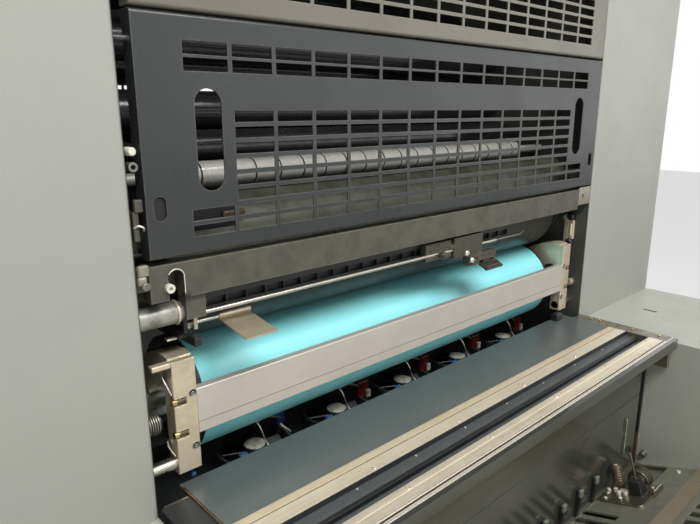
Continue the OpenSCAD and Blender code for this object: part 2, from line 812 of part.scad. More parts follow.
module tray_end_frames() in_press() color("#a8a294")
  for (side = [0, 1])
    mirror([side, 0, 0])
      difference() {
        union() {
          block([tray_plate_half, tray_box_y + tray_lip_w, tray_z - 16], [tray_half, -seat, tray_z]);
          block([tray_half - tray_skirt_w, tray_box_y + tray_lip_w, tray_z - 80], [tray_half, -seat, tray_z]);
          // Spacer blocks against the inner walls of the bed
          for (y = [-200, -60])
            block([tray_half, y, tray_z - 76], [bed_inner, y + 40, tray_z - 40]);
        }
        for (y = [rail_back_y - 12, rail_back_y + 60])
          translate([tray_plate_half + 20, y, tray_z - 6])
            cylinder(r = 5, h = 6 + cut);
      }

// Rail of the tray with shallow ridges along its top
module tray_rail(y, w)
  difference() {
    block([-tray_plate_half, y - w, tray_z - rail_t], [tray_plate_half, y, tray_z]);
    for (i = [1, 2])
      block([-tray_plate_half - cut, y - i * 5 - 1.2, tray_z - 1.5],
            [tray_plate_half + cut, y - i * 5 + 1.2, tray_z + cut]);
  }

module tray_rails() in_press() color("#d3c6aa") {
  tray_rail(rail_back_y, rail_back_w);
  tray_rail(rail_front_y, rail_front_w);
}

module tray_step() in_press() color("#2b2e33")
  block([-tray_plate_half, step_y - step_w, tray_z - tray_drop - tray_t],
        [tray_plate_half, step_y, tray_z - tray_drop]);

module tray_box() in_press() color("#6e6c64") {
  lip_z = tray_z - 24;
  floor_z = lip_z + tray_t;
  panel_half = tray_half - tray_skirt_w;
  joint_z = tray_z - 169;
  // Front lip beside the outer rail, and the floor that runs back from its foot
  block([-tray_half, tray_box_y, lip_z], [tray_half, tray_box_y + tray_lip_w, tray_z]);
  block([-tray_plate_half, tray_box_y + tray_lip_w, lip_z], [tray_plate_half, step_y, floor_z]);
  // Panel that stands back under the lip, down to the bed behind the deck
  difference() {
    block([-panel_half, deck_back_y, bed_z], [panel_half, deck_back_y + tray_t, lip_z]);
    // Joint line across the panel
    block([-panel_half - cut, deck_back_y - cut, joint_z],
          [panel_half + cut, deck_back_y + 1.5, joint_z + 2.5]);
  }
  // Webs that carry the outer rail and the step
  for (x = [-tray_plate_half, -tray_t / 2, tray_plate_half - tray_t]) {
    block([x, rail_front_y - rail_front_w, floor_z], [x + tray_t, rail_front_y, tray_z - rail_t]);
    block([x, step_y - step_w, floor_z], [x + tray_t, step_y, tray_z - tray_drop - tray_t]);
  }
}

module fan_shelf() in_press() color("#33363a") {
  difference() {
    union() {
      block([-left_frame_in, fan_y - 80, fan_shelf_z],
            [right_frame_in, fan_y + 80, fan_shelf_z + fan_shelf_t]);
      for (i = [0 : fan_count - 1])
        translate([fan_x(i), fan_y, fan_shelf_z + fan_shelf_t])
          cylinder(r = fan_bore_r + 6, h = fan_t);
    }
    for (i = [0 : fan_count - 1])
      translate([fan_x(i), fan_y, fan_shelf_z - cut])
        cylinder(r = fan_bore_r, h = fan_t + fan_shelf_t + 2 * cut);
  }
  for (i = [0 : fan_count - 1])
    translate([fan_x(i), fan_y, fan_shelf_z]) {
      // Spider that carries the motor pin
      for (a = [30, 150, 270])
        rotate([0, 0, a])
          translate([0, -4, 0])
            cube([fan_bore_r + 3, 8, fan_shelf_t]);
      cylinder(r = fan_hub_r, h = fan_shelf_t);
      cylinder(r = fan_pin_r, h = fan_shelf_t + fan_t * 0.6);
    }
}

// Hub with curved blades, turning on the pin of the spider
module fan_rotor(i)
  in_press()
    translate([fan_x(i), fan_y, fan_shelf_z + fan_shelf_t + 4]) {
      difference() {
        cylinder(r = fan_hub_r, h = fan_t - 4);
        translate([0, 0, -cut])
          cylinder(r = fan_pin_r + running_fit, h = fan_t * 0.6 + cut);
      }
      blade_l = fan_bore_r - fan_tip_gap - fan_hub_r;
      for (a = [0 : 360 / fan_blades : 359])
        rotate([0, 0, a])
          translate([fan_hub_r - 2, 0, fan_t / 2])
            rotate([35, 0, 0])
              translate([0, -13, -1])
                cube([blade_l, 26, 2]);
    }

module fan_rotor_1() color("#26292c") fan_rotor(0);
module fan_rotor_2() color("#26292c") fan_rotor(1);
module fan_rotor_3() color("#26292c") fan_rotor(2);
module fan_rotor_4() color("#26292c") fan_rotor(3);
module fan_rotor_5() color("#26292c") fan_rotor(4);

// Folded sheet between two places, sloping, with a skirt down to the bed at each end
module deck_section(y_back, y_front)
  across(-bed_inner, bed_inner)
    difference() {
      polygon([[y_back, bed_z], [y_front, bed_z], [y_front, deck_top(y_front)], [y_back, deck_top(y_back)]]);
      polygon([
        [y_back - deck_t, bed_z - cut], [y_front + deck_t, bed_z - cut],
        [y_front + deck_t, deck_top(y_front + deck_t) - deck_t],
        [y_back - deck_t, deck_top(y_back - deck_t) - deck_t]
      ]);
    }

module guide_deck() in_press() color("#7a7a70") {
  front_back_y = bar_back_y - bar_w;
  slot_y = deck_back_y - deck_t;
  front_slot_y = front_back_y - 16;
  difference() {
    deck_section(deck_back_y, bar_back_y);
    for (i = [0 : deck_slots - 1])
      block([deck_first_x - i * deck_pitch - deck_slot_w / 2, slot_y - deck_slot_l, bed_z + cut],
            [deck_first_x - i * deck_pitch + deck_slot_w / 2, slot_y, tray_z]);
    // Well in which the gripper works
    block([well_x, slot_y - deck_slot_l, bed_z + cut], [bed_inner - tray_gap, slot_y, tray_z]);
  }
  difference() {
    deck_section(front_back_y, deck_front_y);
    for (i = [-6 : deck_slots - 1])
      block([deck_first_x - i * deck_pitch - deck_slot_w / 2, front_slot_y - deck_slot_l, bed_z + cut],
            [deck_first_x - i * deck_pitch + deck_slot_w / 2, front_slot_y, tray_z]);
  }
}

// Row of fingers at the foot of the tray's panel, above the deck's rear edge
module sheet_fingers() in_press() color("#1d1f20")
  for (i = [0 : 12])
    across(well_x - 34 - i * finger_pitch, well_x - 20 - i * finger_pitch)
      polygon([
        [deck_back_y, deck_back_z], [deck_back_y, deck_back_z + finger_h],
        [deck_back_y - 6, deck_back_z + finger_h], [deck_back_y - 12, deck_back_z + finger_h - 14],
        [deck_back_y - 5, deck_top(deck_back_y - 5)]
      ]);

// Moves a piece into the plane of the deck, with its origin at the rear edge
module on_deck()
  translate([0, deck_back_y, deck_back_z])
    rotate([-deck_slope, 0, 0])
      children();

module gripper_clamp() in_press() color("#8d8577")
  translate([well_x, 0, 0])
    on_deck() {
      plate_t = 5;
      // Plate over the edge of the well, with its front edge turned up
      round_block([-20, -122, 0], [92, -14, plate_t], 12);
      block([40, -127, 0], [92, -121, 14]);
      // Block and ridged knob
      block([41, -51, plate_t], [71, -23, 22]);
      translate([56, -37, 22]) {
        cylinder(r = 11, h = 42);
        for (i = [0 : 6])
          translate([0, 0, 2 + i * 5.6])
            cylinder(r = 12.6, h = 3);
      }
      // Stop block with its rod
      block([24, -104, plate_t], [56, -76, 40]);
      translate([40, -90, 40])
        cylinder(r = 2.5, h = 65);
      // Cam drum in the well, on its tongue
      block([88, -72, 0], [133, -48, plate_t]);
      translate([105, -60, 6])
        rotate([0, 90, 0])
          cylinder(r = 26, h = 28);
    }

module front_cross_bar() in_press() color("#b8ab92") {
  z = deck_top(bar_back_y) + bar_proud;
  block([-bed_inner, bar_back_y - bar_w, z - 14], [bed_inner, bar_back_y, z]);
  block([-bed_inner, bar_back_y - 28, bed_z], [bed_inner, bar_back_y - 12, z - 14]);
}

module sensor_clamp() in_press() color("#4a4540") {
  x = half_guard / 3 - 60;
  z = beam_z - 8;
  difference() {
    union() {
      // Two housings against the strip, joined by a round neck
      block([x - 178, beam_y + 9, z - 34], [x - 100, beam_back, z]);
      block([x - 94, beam_y + 5, z - 40], [x + 2, beam_back, z + 2]);
      bar_x(8, x - 100, x - 94, beam_y + 15, z - 17);
      // Round clamp with its screw
      bar_y(8, beam_y - 3, beam_y + 9, x - 134, z - 26);
      bar_y(5, beam_y - 6, beam_y - 3, x - 134, z - 26);
    }
    bar_x(long_rod_r + seat, x - 180, x + 4, long_rod_y, long_rod_z);
  }
  // Jaw with its two screws
  block([x - 56, beam_y - 7, z - 60], [x - 22, beam_y + 12, z - 40]);
  bar_y(7, beam_y - 13, beam_y - 7, x - 46, z - 52);
  bar_y(6, beam_y - 12, beam_y - 7, x - 30, z - 46);
  // Arm that carries the pad over the blanket
  block([x - 22, beam_y - 1, z - 56], [x + 46, beam_y + 17, z - 40]);
  block([x + 12, beam_y + 7, z - 68], [x + 36, beam_y + 17, z - 56]);
  translate([x + 5, beam_y + 22, z - 60])
    rotate([27, 0, 0]) {
      block([0, -34, -6], [58, 0, 0]);
      bar_x(3, 0, 58, -34, -3);
    }
}

// Flap that hangs forward from the end of the short rod, rolled round it
module lifter_plate() in_press() color("#b3a88f")
  translate([flap_x, short_rod_y, short_rod_z])
    rotate([38.7, 0, 0])
      difference() {
        union() {
          block([0, -51, -5], [flap_w, 0, -3]);
          bar_x(5, 0, flap_w, 0, 0);
        }
        bar_x(short_rod_r, -cut, flap_w + cut, 0, 0);
      }

base_frame();
levelling_feet();
left_side_frame();
right_side_frame();
left_upper_cover();
right_upper_cover();
left_lower_cover();
right_lower_cover();
roof_cover();
upper_guard();
top_guard();
main_guard();
rear_guard();
rear_panel();
cross_beam();
beam_ring_roller();
blower_strip();
guide_rods();
support_pipe();
stop_finger();
blanket_cylinder();
bearer_rings();
blanket();
plate_cylinder();
plate_guide_shell();
chrome_roller();
ink_roller();
hidden_rollers();
nip_guard_bar();
nip_guard_arms();
nip_guard_shaft();
frame_link();
tray_plate();
tray_end_frames();
tray_rails();
tray_step();
tray_box();
fan_shelf();
fan_rotor_1();
fan_rotor_2();
fan_rotor_3();
fan_rotor_4();
fan_rotor_5();
guide_deck();
sheet_fingers();
gripper_clamp();
front_cross_bar();
sensor_clamp();
lifter_plate();
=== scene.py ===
"""Studio scene of one printing unit of a sheet-fed offset press.

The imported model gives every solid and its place. This script gives those solids
their finishes, adds the small pieces that the solids leave out, and sets the
camera, the floor and the light.

Places are in millimetres from the swinging guard: x from the middle of the press,
y back from the guard's front plane and z up from the guard's lower edge.
"""

from __future__ import annotations

import logging
import math
from dataclasses import dataclass, field
from enum import Enum
from typing import Mapping, Sequence

import bmesh
import bpy
import numpy as np
from mathutils import Matrix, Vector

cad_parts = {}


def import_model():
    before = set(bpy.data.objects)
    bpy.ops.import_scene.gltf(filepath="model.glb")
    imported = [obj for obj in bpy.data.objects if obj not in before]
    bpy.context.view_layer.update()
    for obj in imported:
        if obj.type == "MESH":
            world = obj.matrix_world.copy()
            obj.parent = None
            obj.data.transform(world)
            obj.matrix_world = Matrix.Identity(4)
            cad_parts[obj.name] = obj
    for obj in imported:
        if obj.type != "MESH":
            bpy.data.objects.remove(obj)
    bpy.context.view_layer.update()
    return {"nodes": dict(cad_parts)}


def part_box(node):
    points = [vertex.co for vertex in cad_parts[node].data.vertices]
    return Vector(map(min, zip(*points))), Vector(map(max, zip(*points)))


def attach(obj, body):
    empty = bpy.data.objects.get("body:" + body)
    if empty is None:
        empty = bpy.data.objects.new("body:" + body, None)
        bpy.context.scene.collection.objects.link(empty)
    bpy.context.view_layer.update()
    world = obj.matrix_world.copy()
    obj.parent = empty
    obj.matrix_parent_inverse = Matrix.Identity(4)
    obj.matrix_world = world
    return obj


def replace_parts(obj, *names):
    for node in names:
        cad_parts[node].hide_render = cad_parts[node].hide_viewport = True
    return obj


LOG = logging.getLogger("press_scene")
MM = 0.001
CREASE = math.radians(32.0)
CORNER_POINTS = 4
SCREW_SIDES = 24

Tone = tuple[int, int, int]
Shade = tuple[float, float, float, float]
Place = tuple[float, float, float]
Path = Sequence[Place]
Profile = Sequence[tuple[float, float]]

WHITE: Shade = (1.0, 1.0, 1.0, 1.0)


def linear(tone: Tone) -> Shade:
    """Turn a colour as seen on a screen into the linear values that a shader takes.

    Args:
        tone: Red, green and blue from 0 to 255.

    Returns:
        Linear red, green, blue and an alpha of 1. Formula: the share s is s/12.92
        below 0.04045, and ((s + 0.055) / 1.055) to the power 2.4 above it.
    """
    share = np.asarray(tone, float) / 255
    curve = np.where(share <= 0.04045, share / 12.92, ((share + 0.055) / 1.055) ** 2.4)
    return (*curve.tolist(), 1.0)


class Wire:
    """One output socket of a node tree, which can be used in Python arithmetic."""

    def __init__(self, sheet: NodeSheet, socket: bpy.types.NodeSocket) -> None:
        """Keep the socket and the sheet that it is on."""
        self.sheet = sheet
        self.socket = socket

    def math(self, operation: str, *values: Wire | float) -> Wire:
        """Add one Math node that works on the given values."""
        return self.sheet.node("ShaderNodeMath", {"operation": operation}, dict(enumerate(values)))

    def __add__(self, other: Wire | float) -> Wire:
        """Sum with a wire or a number."""
        return self.math("ADD", self, other)

    def __radd__(self, other: float) -> Wire:
        """Sum of a number and this wire."""
        return self.math("ADD", other, self)

    def __sub__(self, other: Wire | float) -> Wire:
        """Difference from a wire or a number."""
        return self.math("SUBTRACT", self, other)

    def __rsub__(self, other: float) -> Wire:
        """A number less this wire."""
        return self.math("SUBTRACT", other, self)

    def __mul__(self, other: Wire | float) -> Wire:
        """Product with a wire or a number."""
        return self.math("MULTIPLY", self, other)

    def __rmul__(self, other: float) -> Wire:
        """Product of a number and this wire."""
        return self.math("MULTIPLY", other, self)

    def most(self, other: Wire | float) -> Wire:
        """The larger of this wire and another value."""
        return self.math("MAXIMUM", self, other)

    def step(self, low: float, high: float) -> Wire:
        """A smooth step from 0 at the low value to 1 at the high value."""
        settings = {"interpolation_type": "SMOOTHSTEP"}
        return self.sheet.node("ShaderNodeMapRange", settings, {0: self, 1: low, 2: high})


class NodeSheet:
    """A node tree that is written in Python."""

    def __init__(self, tree: bpy.types.NodeTree) -> None:
        """Keep the tree."""
        self.tree = tree

    def node(
        self,
        kind: str,
        settings: Mapping[str, object] | None = None,
        inputs: Mapping[int | str, Wire | float | Sequence[float]] | None = None,
        output: int | str = 0,
    ) -> Wire:
        """Add any node.

        Args:
            kind: The node's type.
            settings: Its settings, which are set first.
            inputs: Values or wires by socket.
            output: The socket that is given back.

        Returns:
            That output as a wire.
        """
        made = self.tree.nodes.new(kind)
        for key, value in (settings or {}).items():
            setattr(made, key, value)
        for key, value in (inputs or {}).items():
            if isinstance(value, Wire):
                self.tree.links.new(value.socket, made.inputs[key])
            else:
                made.inputs[key].default_value = value
        return Wire(self, made.outputs[output])

    def show(self, wire: Wire, output: str) -> None:
        """Feed the surface of the tree's output node, which has the given name."""
        self.tree.links.new(wire.socket, self.tree.nodes[output].inputs["Surface"])


class ShaderSheet(NodeSheet):
    """The node tree of one finish."""

    def __init__(self, name: str) -> None:
        """Make an empty material with its principled surface.

        Args:
            name: The material's name.
        """
        self.material = bpy.data.materials.new(name)
        self.material.use_nodes = True
        super().__init__(self.material.node_tree)
        self.surface = self.tree.nodes["Principled BSDF"]

    def place(self, stretch: Place = (1, 1, 1)) -> Wire:
        """Object coordinates, stretched by a factor on each axis."""
        spot = self.node("ShaderNodeTexCoord", output="Object")
        return self.node("ShaderNodeMapping", None, {"Vector": spot, "Scale": stretch})

    def noise(
        self, size: float, detail: float = 3, rough: float = 0.5, stretch: Place = (1, 1, 1)
    ) -> Wire:
        """Cloudy noise from 0 to 1.

        Args:
            size: Size of its patches in metres.
            detail: Number of finer layers.
            rough: Strength of the finer layers.
            stretch: Factor on each axis.

        Returns:
            The noise.
        """
        spot = self.place(stretch)
        inputs = {"Vector": spot, "Scale": 1 / size, "Detail": detail, "Roughness": rough}
        return self.node("ShaderNodeTexNoise", None, inputs)

    def specks(self, size: float) -> Wire:
        """Distance from the nearest of many scattered points, 0 at the points."""
        return self.node("ShaderNodeTexVoronoi", None, {"Vector": self.place(), "Scale": 1 / size})

    def mix(self, share: Wire | float, first: Wire | Sequence[float], second: Sequence[float]) -> Wire:
        """Blend from a first to a second colour by a share."""
        return self.node("ShaderNodeMix", {"data_type": "RGBA"}, {0: share, 6: first, 7: second}, 2)

    def soft_edge(self, radius: float) -> Wire:
        """Surface direction with its edges rounded by a radius in metres."""
        return self.node("ShaderNodeBevel", {"samples": 4}, {"Radius": radius})

    def edge_share(self, radius: float, gain: float) -> Wire:
        """Find the edges of the surface.

        Args:
            radius: Reach of an edge in metres.
            gain: Factor on 1 less the cosine between the softened and the flat direction.

        Returns:
            A share of 0 on flats and up to 1 on edges.
        """
        pair = {0: self.soft_edge(radius), 1: self.node("ShaderNodeNewGeometry", output="Normal")}
        agree = self.node("ShaderNodeVectorMath", {"operation": "DOT_PRODUCT"}, pair, "Value")
        return ((1 - agree) * gain).step(0.05, 1.0)

    def constant(self, **values: object) -> None:
        """Set sockets of the surface that are the same all over; an underscore stands for a space."""
        for key, value in values.items():
            self.surface.inputs[key.replace("_", " ")].default_value = value

    def drive(self, socket: str, wire: Wire) -> None:
        """Feed one socket of the surface."""
        self.tree.links.new(wire.socket, self.surface.inputs[socket])

    def bump(self, height: Wire, depth: float, normal: Wire) -> None:
        """Feed the surface's normal from a height, whose full range is the given depth in metres."""
        inputs = {"Height": height, "Distance": depth, "Strength": 1.0, "Normal": normal}
        self.drive("Normal", self.node("ShaderNodeBump", None, inputs))


class Grain(Enum):
    """Direction and kind of the fine texture of a finish."""

    ORANGE_PEEL = "sprayed paint"
    CAST = "rough casting under thin paint"
    ALONG_PRESS = "drawn or brushed along the press"
    ROUND_ROLL = "turned or ground round a roller"
    SMOOTH = "polished or moulded"


@dataclass(frozen=True)
class MachineFinish:
    """Opaque finish of one kind of machine part.

    Sizes are in metres and shares run from 0 to 1. Painted shade follows the grain:
    where the grain rises, the colour is drawn by up to a set share towards the hollow
    share of the first tone. The patches and the grain each raise the roughness by up to
    the unevenness, and the gloss is lowered by the mean rise first.
    """

    name: str
    tone: Tone
    second: Tone
    gloss: float = 0.45
    metal: float = 0.0
    coat: float = 0.0
    grain: Grain = Grain.ORANGE_PEEL
    depth: float = 0.00004
    patch: float = 0.18
    patch_share: float = 0.5
    worn: Tone | None = None
    wear: float = 0.0
    edge: float = 0.0012
    specks: Tone | None = None
    speck_share: float = 0.6
    # Painted shade of the grain: the share of the first tone it darkens towards, and how far.
    hollow: float = 0.72
    grain_shade_share: float = 0.35
    unevenness: float = 0.10
    mean_rise: float = 0.09

    def grain_wire(self, sheet: ShaderSheet) -> Wire:
        """Make the fine texture of the surface.

        Args:
            sheet: Where its nodes go.

        Returns:
            A height from 0 to 1.
        """
        if self.grain is Grain.ALONG_PRESS:
            return sheet.noise(0.0012, 2, 0.6, (0.012, 1, 1))
        if self.grain is Grain.ROUND_ROLL:
            return sheet.noise(0.0012, 2, 0.6, (1, 0.03, 0.03))
        if self.grain is Grain.CAST:
            return sheet.noise(0.0035, 4, 0.6) * 0.6 + sheet.specks(0.009) * 0.4
        if self.grain is Grain.SMOOTH:
            return sheet.noise(0.02, 2, 0.4)
        return sheet.noise(0.0016, 2, 0.5)

    def build(self) -> bpy.types.Material:
        """Make the material.

        Returns:
            The material. Its colour is the first tone with patches of the second, a
            little painted shade that follows the grain, and the worn tone on edges; its gloss
            follows the same patches.
        """
        sheet = ShaderSheet(self.name)
        grain = self.grain_wire(sheet)
        patches = sheet.noise(self.patch, 5, 0.6).step(0.38, 0.68)
        colour = sheet.mix(patches * self.patch_share, linear(self.tone), linear(self.second))
        # Painted shade: the colour darkens towards a share of the tone as the grain rises.
        shade = (*(self.hollow * c for c in linear(self.tone)[:3]), 1.0)
        colour = sheet.mix((grain * 0.35).step(0.05, 0.4) * self.grain_shade_share, colour, shade)
        rough = patches * self.unevenness + grain * self.unevenness + (self.gloss - self.mean_rise)
        if self.specks is not None:
            spots = 1 - sheet.specks(0.035).step(0.02, 0.055)
            colour = sheet.mix(spots * self.speck_share, colour, linear(self.specks))
        if self.worn is not None:
            scuffs = sheet.noise(0.03, 4, 0.7).step(0.3, 0.6)
            share = sheet.edge_share(self.edge * 2.2, 5.0) * scuffs * self.wear
            colour = sheet.mix(share, colour, linear(self.worn))
        sheet.drive("Base Color", colour)
        sheet.drive("Roughness", rough)
        sheet.constant(Metallic=self.metal, Coat_Weight=self.coat, Coat_Roughness=0.12)
        sheet.bump(grain, self.depth, sheet.soft_edge(self.edge))
        return sheet.material


@dataclass(frozen=True)
class JacketFinish:
    """Glossy blue-green rubber blanket, with printed haze round the cylinder."""

    name: str
    tone: Tone
    haze: Tone
    stain: Tone
    band_share: float = 0.22
    cloud_share: float = 0.18
    stain_share: float = 0.35
    gloss: float = 0.38

    def build(self) -> bpy.types.Material:
        """Make the material.

        Returns:
            The material. Bands round the roller and soft clouds mix the haze in, and a
            few faint stains run along the roller.
        """
        sheet = ShaderSheet(self.name)
        bands = sheet.noise(0.05, 3, 0.6, (1, 0.15, 0.15)).step(0.3, 0.75)
        clouds = sheet.noise(0.16, 4, 0.5).step(0.35, 0.7)
        share = bands * self.band_share + clouds * self.cloud_share
        colour = sheet.mix(share, linear(self.tone), linear(self.haze))
        marks = sheet.noise(0.03, 4, 0.7, (0.3, 1, 1)).step(0.62, 0.78)
        colour = sheet.mix(marks * self.stain_share, colour, linear(self.stain))
        sheet.drive("Base Color", colour)
        sheet.drive("Roughness", clouds * 0.08 + bands * 0.05 + self.gloss)
        sheet.constant(Coat_Weight=0.2, Coat_Roughness=0.3)
        sheet.bump(sheet.noise(0.0011, 2, 0.5), 0.00001, sheet.soft_edge(0.0008))
        return sheet.material


@dataclass(frozen=True)
class RailFinish:
    """Worn aluminium rail with fine lines drawn along it and rubbed patches."""

    name: str
    tone: Tone
    worn: Tone
    dirt: Tone
    rub_share: float = 0.35
    dirt_share: float = 0.55
    gloss: float = 0.26
    metal: float = 0.55

    def build(self) -> bpy.types.Material:
        """Make the material.

        Returns:
            The material. Long streaks along the rail mix the two metal tones, small
            dirty spots darken it, and the streaks carry its relief.
        """
        sheet = ShaderSheet(self.name)
        streaks = sheet.noise(0.004, 3, 0.65, (0.02, 1, 1))
        rubs = sheet.noise(0.06, 4, 0.6).step(0.35, 0.7)
        colour = sheet.mix(streaks.step(0.3, 0.7), linear(self.tone), linear(self.worn))
        colour = sheet.mix(rubs * self.rub_share, colour, linear(self.worn))
        grime = sheet.noise(0.012, 5, 0.75, (0.4, 1, 1)).step(0.56, 0.72)
        colour = sheet.mix(grime * self.dirt_share, colour, linear(self.dirt))
        sheet.drive("Base Color", colour)
        sheet.drive("Roughness", rubs * 0.12 + streaks * 0.16 + self.gloss)
        sheet.drive("Metallic", self.metal - grime * 0.4)
        sheet.bump(streaks, 0.00008, sheet.soft_edge(0.0008))
        return sheet.material


@dataclass(frozen=True)
class StageFinish:
    """Plain pale floor that shows white to the camera and keeps a soft shadow."""

    name: str
    tone: Tone
    cloud: Shade = (0.7, 0.7, 0.69, 1.0)
    cloud_share: float = 0.06
    white_share: float = 0.65

    def build(self) -> bpy.types.Material:
        """Make the material.

        Returns:
            The material, with a very faint cloud in its colour.
        """
        sheet = ShaderSheet(self.name)
        share = sheet.noise(2.0, 2) * self.cloud_share
        sheet.drive("Base Color", sheet.mix(share, linear(self.tone), self.cloud))
        sheet.constant(Roughness=0.9)
        seen = sheet.node("ShaderNodeLightPath", output="Is Camera Ray") * self.white_share
        white = sheet.node("ShaderNodeEmission", None, {"Color": WHITE, "Strength": 1.0})
        own = Wire(sheet, sheet.surface.outputs[0])
        blend = sheet.node("ShaderNodeMixShader", None, {0: seen, 1: own, 2: white})
        sheet.show(blend, "Material Output")
        return sheet.material


class Finish(Enum):
    """Every finish of the press."""

    COVER = MachineFinish("cover_paint", (161, 163, 155), (154, 156, 149), 0.42)
    LOW_COVER = MachineFinish("low_cover_paint", (175, 177, 167), (167, 169, 159), 0.45)
    FRAME = MachineFinish("frame_casting", (74, 75, 69), (56, 57, 52), 0.5, grain=Grain.CAST, depth=0.0002)
    BASE = MachineFinish("bed_casting", (92, 93, 87), (76, 77, 72), 0.55, grain=Grain.CAST, depth=0.0003)
    ANTHRACITE = MachineFinish(
        "anthracite_powder", (52, 55, 54), (48, 50, 49), 0.3, worn=(140, 138, 128), wear=0.5,
        depth=0.00005, specks=(74, 77, 75),
    )
    # Painted highlight, in part: the light tone and the light worn edges of this powder stand in for the
    # highlight along the upper guard's lower flange.
    UPPER = MachineFinish(
        "upper_guard_powder_painted_highlight", (112, 108, 99), (102, 98, 90), 0.3, worn=(170, 165, 150), wear=0.5,
        depth=0.00005,
    )
    BEAM = MachineFinish(
        "beam_casting", (80, 78, 69), (58, 58, 52), 0.55, grain=Grain.CAST, depth=0.0005,
        worn=(170, 160, 140), wear=0.6, patch=0.04, patch_share=0.7,
    )
    END_PLATE = MachineFinish(
        "beam_end_plate", (150, 145, 128), (120, 112, 98), 0.4, metal=0.3, grain=Grain.CAST, depth=0.0001,
        patch=0.02,
    )
    DARK_STEEL = MachineFinish(
        "dark_steel", (58, 57, 54), (42, 42, 41), 0.42, metal=0.6, grain=Grain.ROUND_ROLL, patch=0.05
    )
    CLAMP = MachineFinish(
        "clamp_casting", (80, 77, 68), (56, 55, 50), 0.42, metal=0.35, grain=Grain.CAST, depth=0.00008,
        patch=0.012, worn=(150, 140, 122), wear=0.7,
    )
    IVORY = MachineFinish("ivory_plastic", (222, 219, 205), (205, 200, 182), 0.35, grain=Grain.SMOOTH)
    BLACK = MachineFinish("black_plastic", (30, 31, 33), (40, 41, 42), 0.4, grain=Grain.SMOOTH)
    # Near-black that paints the shade behind the guard's left slot.
    DEEP_BLACK = MachineFinish("painted_shadow_black", (9, 9, 10), (13, 13, 13), 0.7, grain=Grain.SMOOTH)
    BLACK_SHEET = MachineFinish("black_sheet", (38, 40, 41), (48, 50, 50), 0.42, patch=0.06)
    RUBBER = MachineFinish("ink_rubber", (36, 36, 38), (52, 50, 50), 0.22, coat=0.4, grain=Grain.ROUND_ROLL)
    STEEL = MachineFinish(
        "bright_steel", (196, 192, 180), (150, 146, 136), 0.3, metal=1.0, grain=Grain.ALONG_PRESS,
        patch=0.03, worn=(232, 228, 216), wear=0.6,
    )
    GROUND_STEEL = MachineFinish(
        "ground_steel", (170, 172, 166), (140, 142, 136), 0.3, metal=1.0, grain=Grain.ROUND_ROLL, patch=0.05
    )
    DULL_STEEL = MachineFinish(
        "dull_steel", (130, 128, 120), (88, 86, 80), 0.4, metal=0.8, grain=Grain.CAST, depth=0.0001,
        patch=0.03, patch_share=0.8, worn=(205, 200, 185), wear=0.6,
    )
    PIPE = MachineFinish(
        "pipe_steel", (156, 155, 148), (96, 94, 88), 0.42, metal=0.3, grain=Grain.CAST, depth=0.0001,
        patch=0.02, patch_share=0.8,
    )
    SHELL = MachineFinish(
        "satin_shell", (92, 96, 82), (58, 61, 50), 0.38, metal=0.1, grain=Grain.ALONG_PRESS, patch=0.05,
        patch_share=0.9,
    )
    # Painted reflection: the near-white tone with little metal stands in for the bright light that the real
    # chrome mirrors.
    CHROME = MachineFinish(
        "chrome", (252, 249, 240), (244, 240, 230), 0.24, metal=0.2, grain=Grain.ROUND_ROLL, depth=0.000004
    )
    # Painted reflection, in part: the grain's colour streaks along the bar also stand in for the reflections
    # that run along it.
    BAR = MachineFinish(
        "anodised_bar", (202, 196, 187), (186, 178, 170), 0.34, metal=0.4, grain=Grain.ALONG_PRESS,
        depth=0.00002, patch=0.12, worn=(236, 232, 222), wear=0.9,
    )
    ARM = MachineFinish(
        "arm_casting", (212, 200, 176), (188, 172, 142), 0.36, metal=0.55, grain=Grain.CAST, depth=0.00008,
        patch=0.02, worn=(240, 230, 205), wear=0.7, edge=0.0014,
    )
    TRAY = MachineFinish(
        "tray_anodised", (104, 111, 110), (92, 98, 98), 0.34, metal=0.35, depth=0.000012, patch=0.12,
        specks=(150, 154, 150),
    )
    TRAY_STEP = MachineFinish(
        "tray_step", (98, 102, 103), (82, 86, 88), 0.3, metal=0.3, grain=Grain.ALONG_PRESS
    )
    TRAY_END = MachineFinish(
        "tray_end_steel", (150, 143, 128), (104, 92, 78), 0.34, metal=0.8, grain=Grain.CAST, depth=0.00008,
        patch=0.03, patch_share=0.8, worn=(225, 214, 190), wear=0.8,
    )
    PANEL = MachineFinish(
        "tray_gloss_paint", (64, 64, 59), (52, 52, 48), 0.2, coat=0.9, depth=0.000012, patch=0.12
    )
    DECK = MachineFinish(
        "rolled_deck", (168, 168, 153), (124, 126, 113), 0.36, metal=0.7, grain=Grain.ALONG_PRESS, patch=0.05,
        worn=(215, 208, 184), wear=0.8,
    )
    BRONZE = MachineFinish(
        "dark_bronze", (98, 82, 66), (60, 50, 42), 0.3, metal=0.7, grain=Grain.CAST, depth=0.00006,
        patch=0.015, worn=(196, 176, 148), wear=0.8,
    )
    GRIPPER = MachineFinish(
        "gripper_plate", (112, 108, 94), (84, 80, 68), 0.32, metal=0.75, grain=Grain.CAST, depth=0.00005,
        patch=0.02, worn=(206, 198, 176), wear=0.9,
    )
    BEIGE = MachineFinish(
        "lifter_sheet", (178, 168, 142), (164, 150, 126), 0.36, metal=0.45, grain=Grain.ALONG_PRESS,
        patch=0.03,
    )
    CROSS_BAR = MachineFinish(
        "warm_bar", (176, 164, 140), (150, 138, 116), 0.32, metal=0.75, grain=Grain.ALONG_PRESS, patch=0.08,
        worn=(226, 214, 188), wear=0.8,
    )
    SIGNAL_RED = MachineFinish("red_plastic", (100, 24, 21), (74, 17, 15), 0.35, grain=Grain.SMOOTH)
    SIGNAL_BLUE = MachineFinish("blue_plastic", (38, 84, 132), (28, 62, 100), 0.35, grain=Grain.SMOOTH)
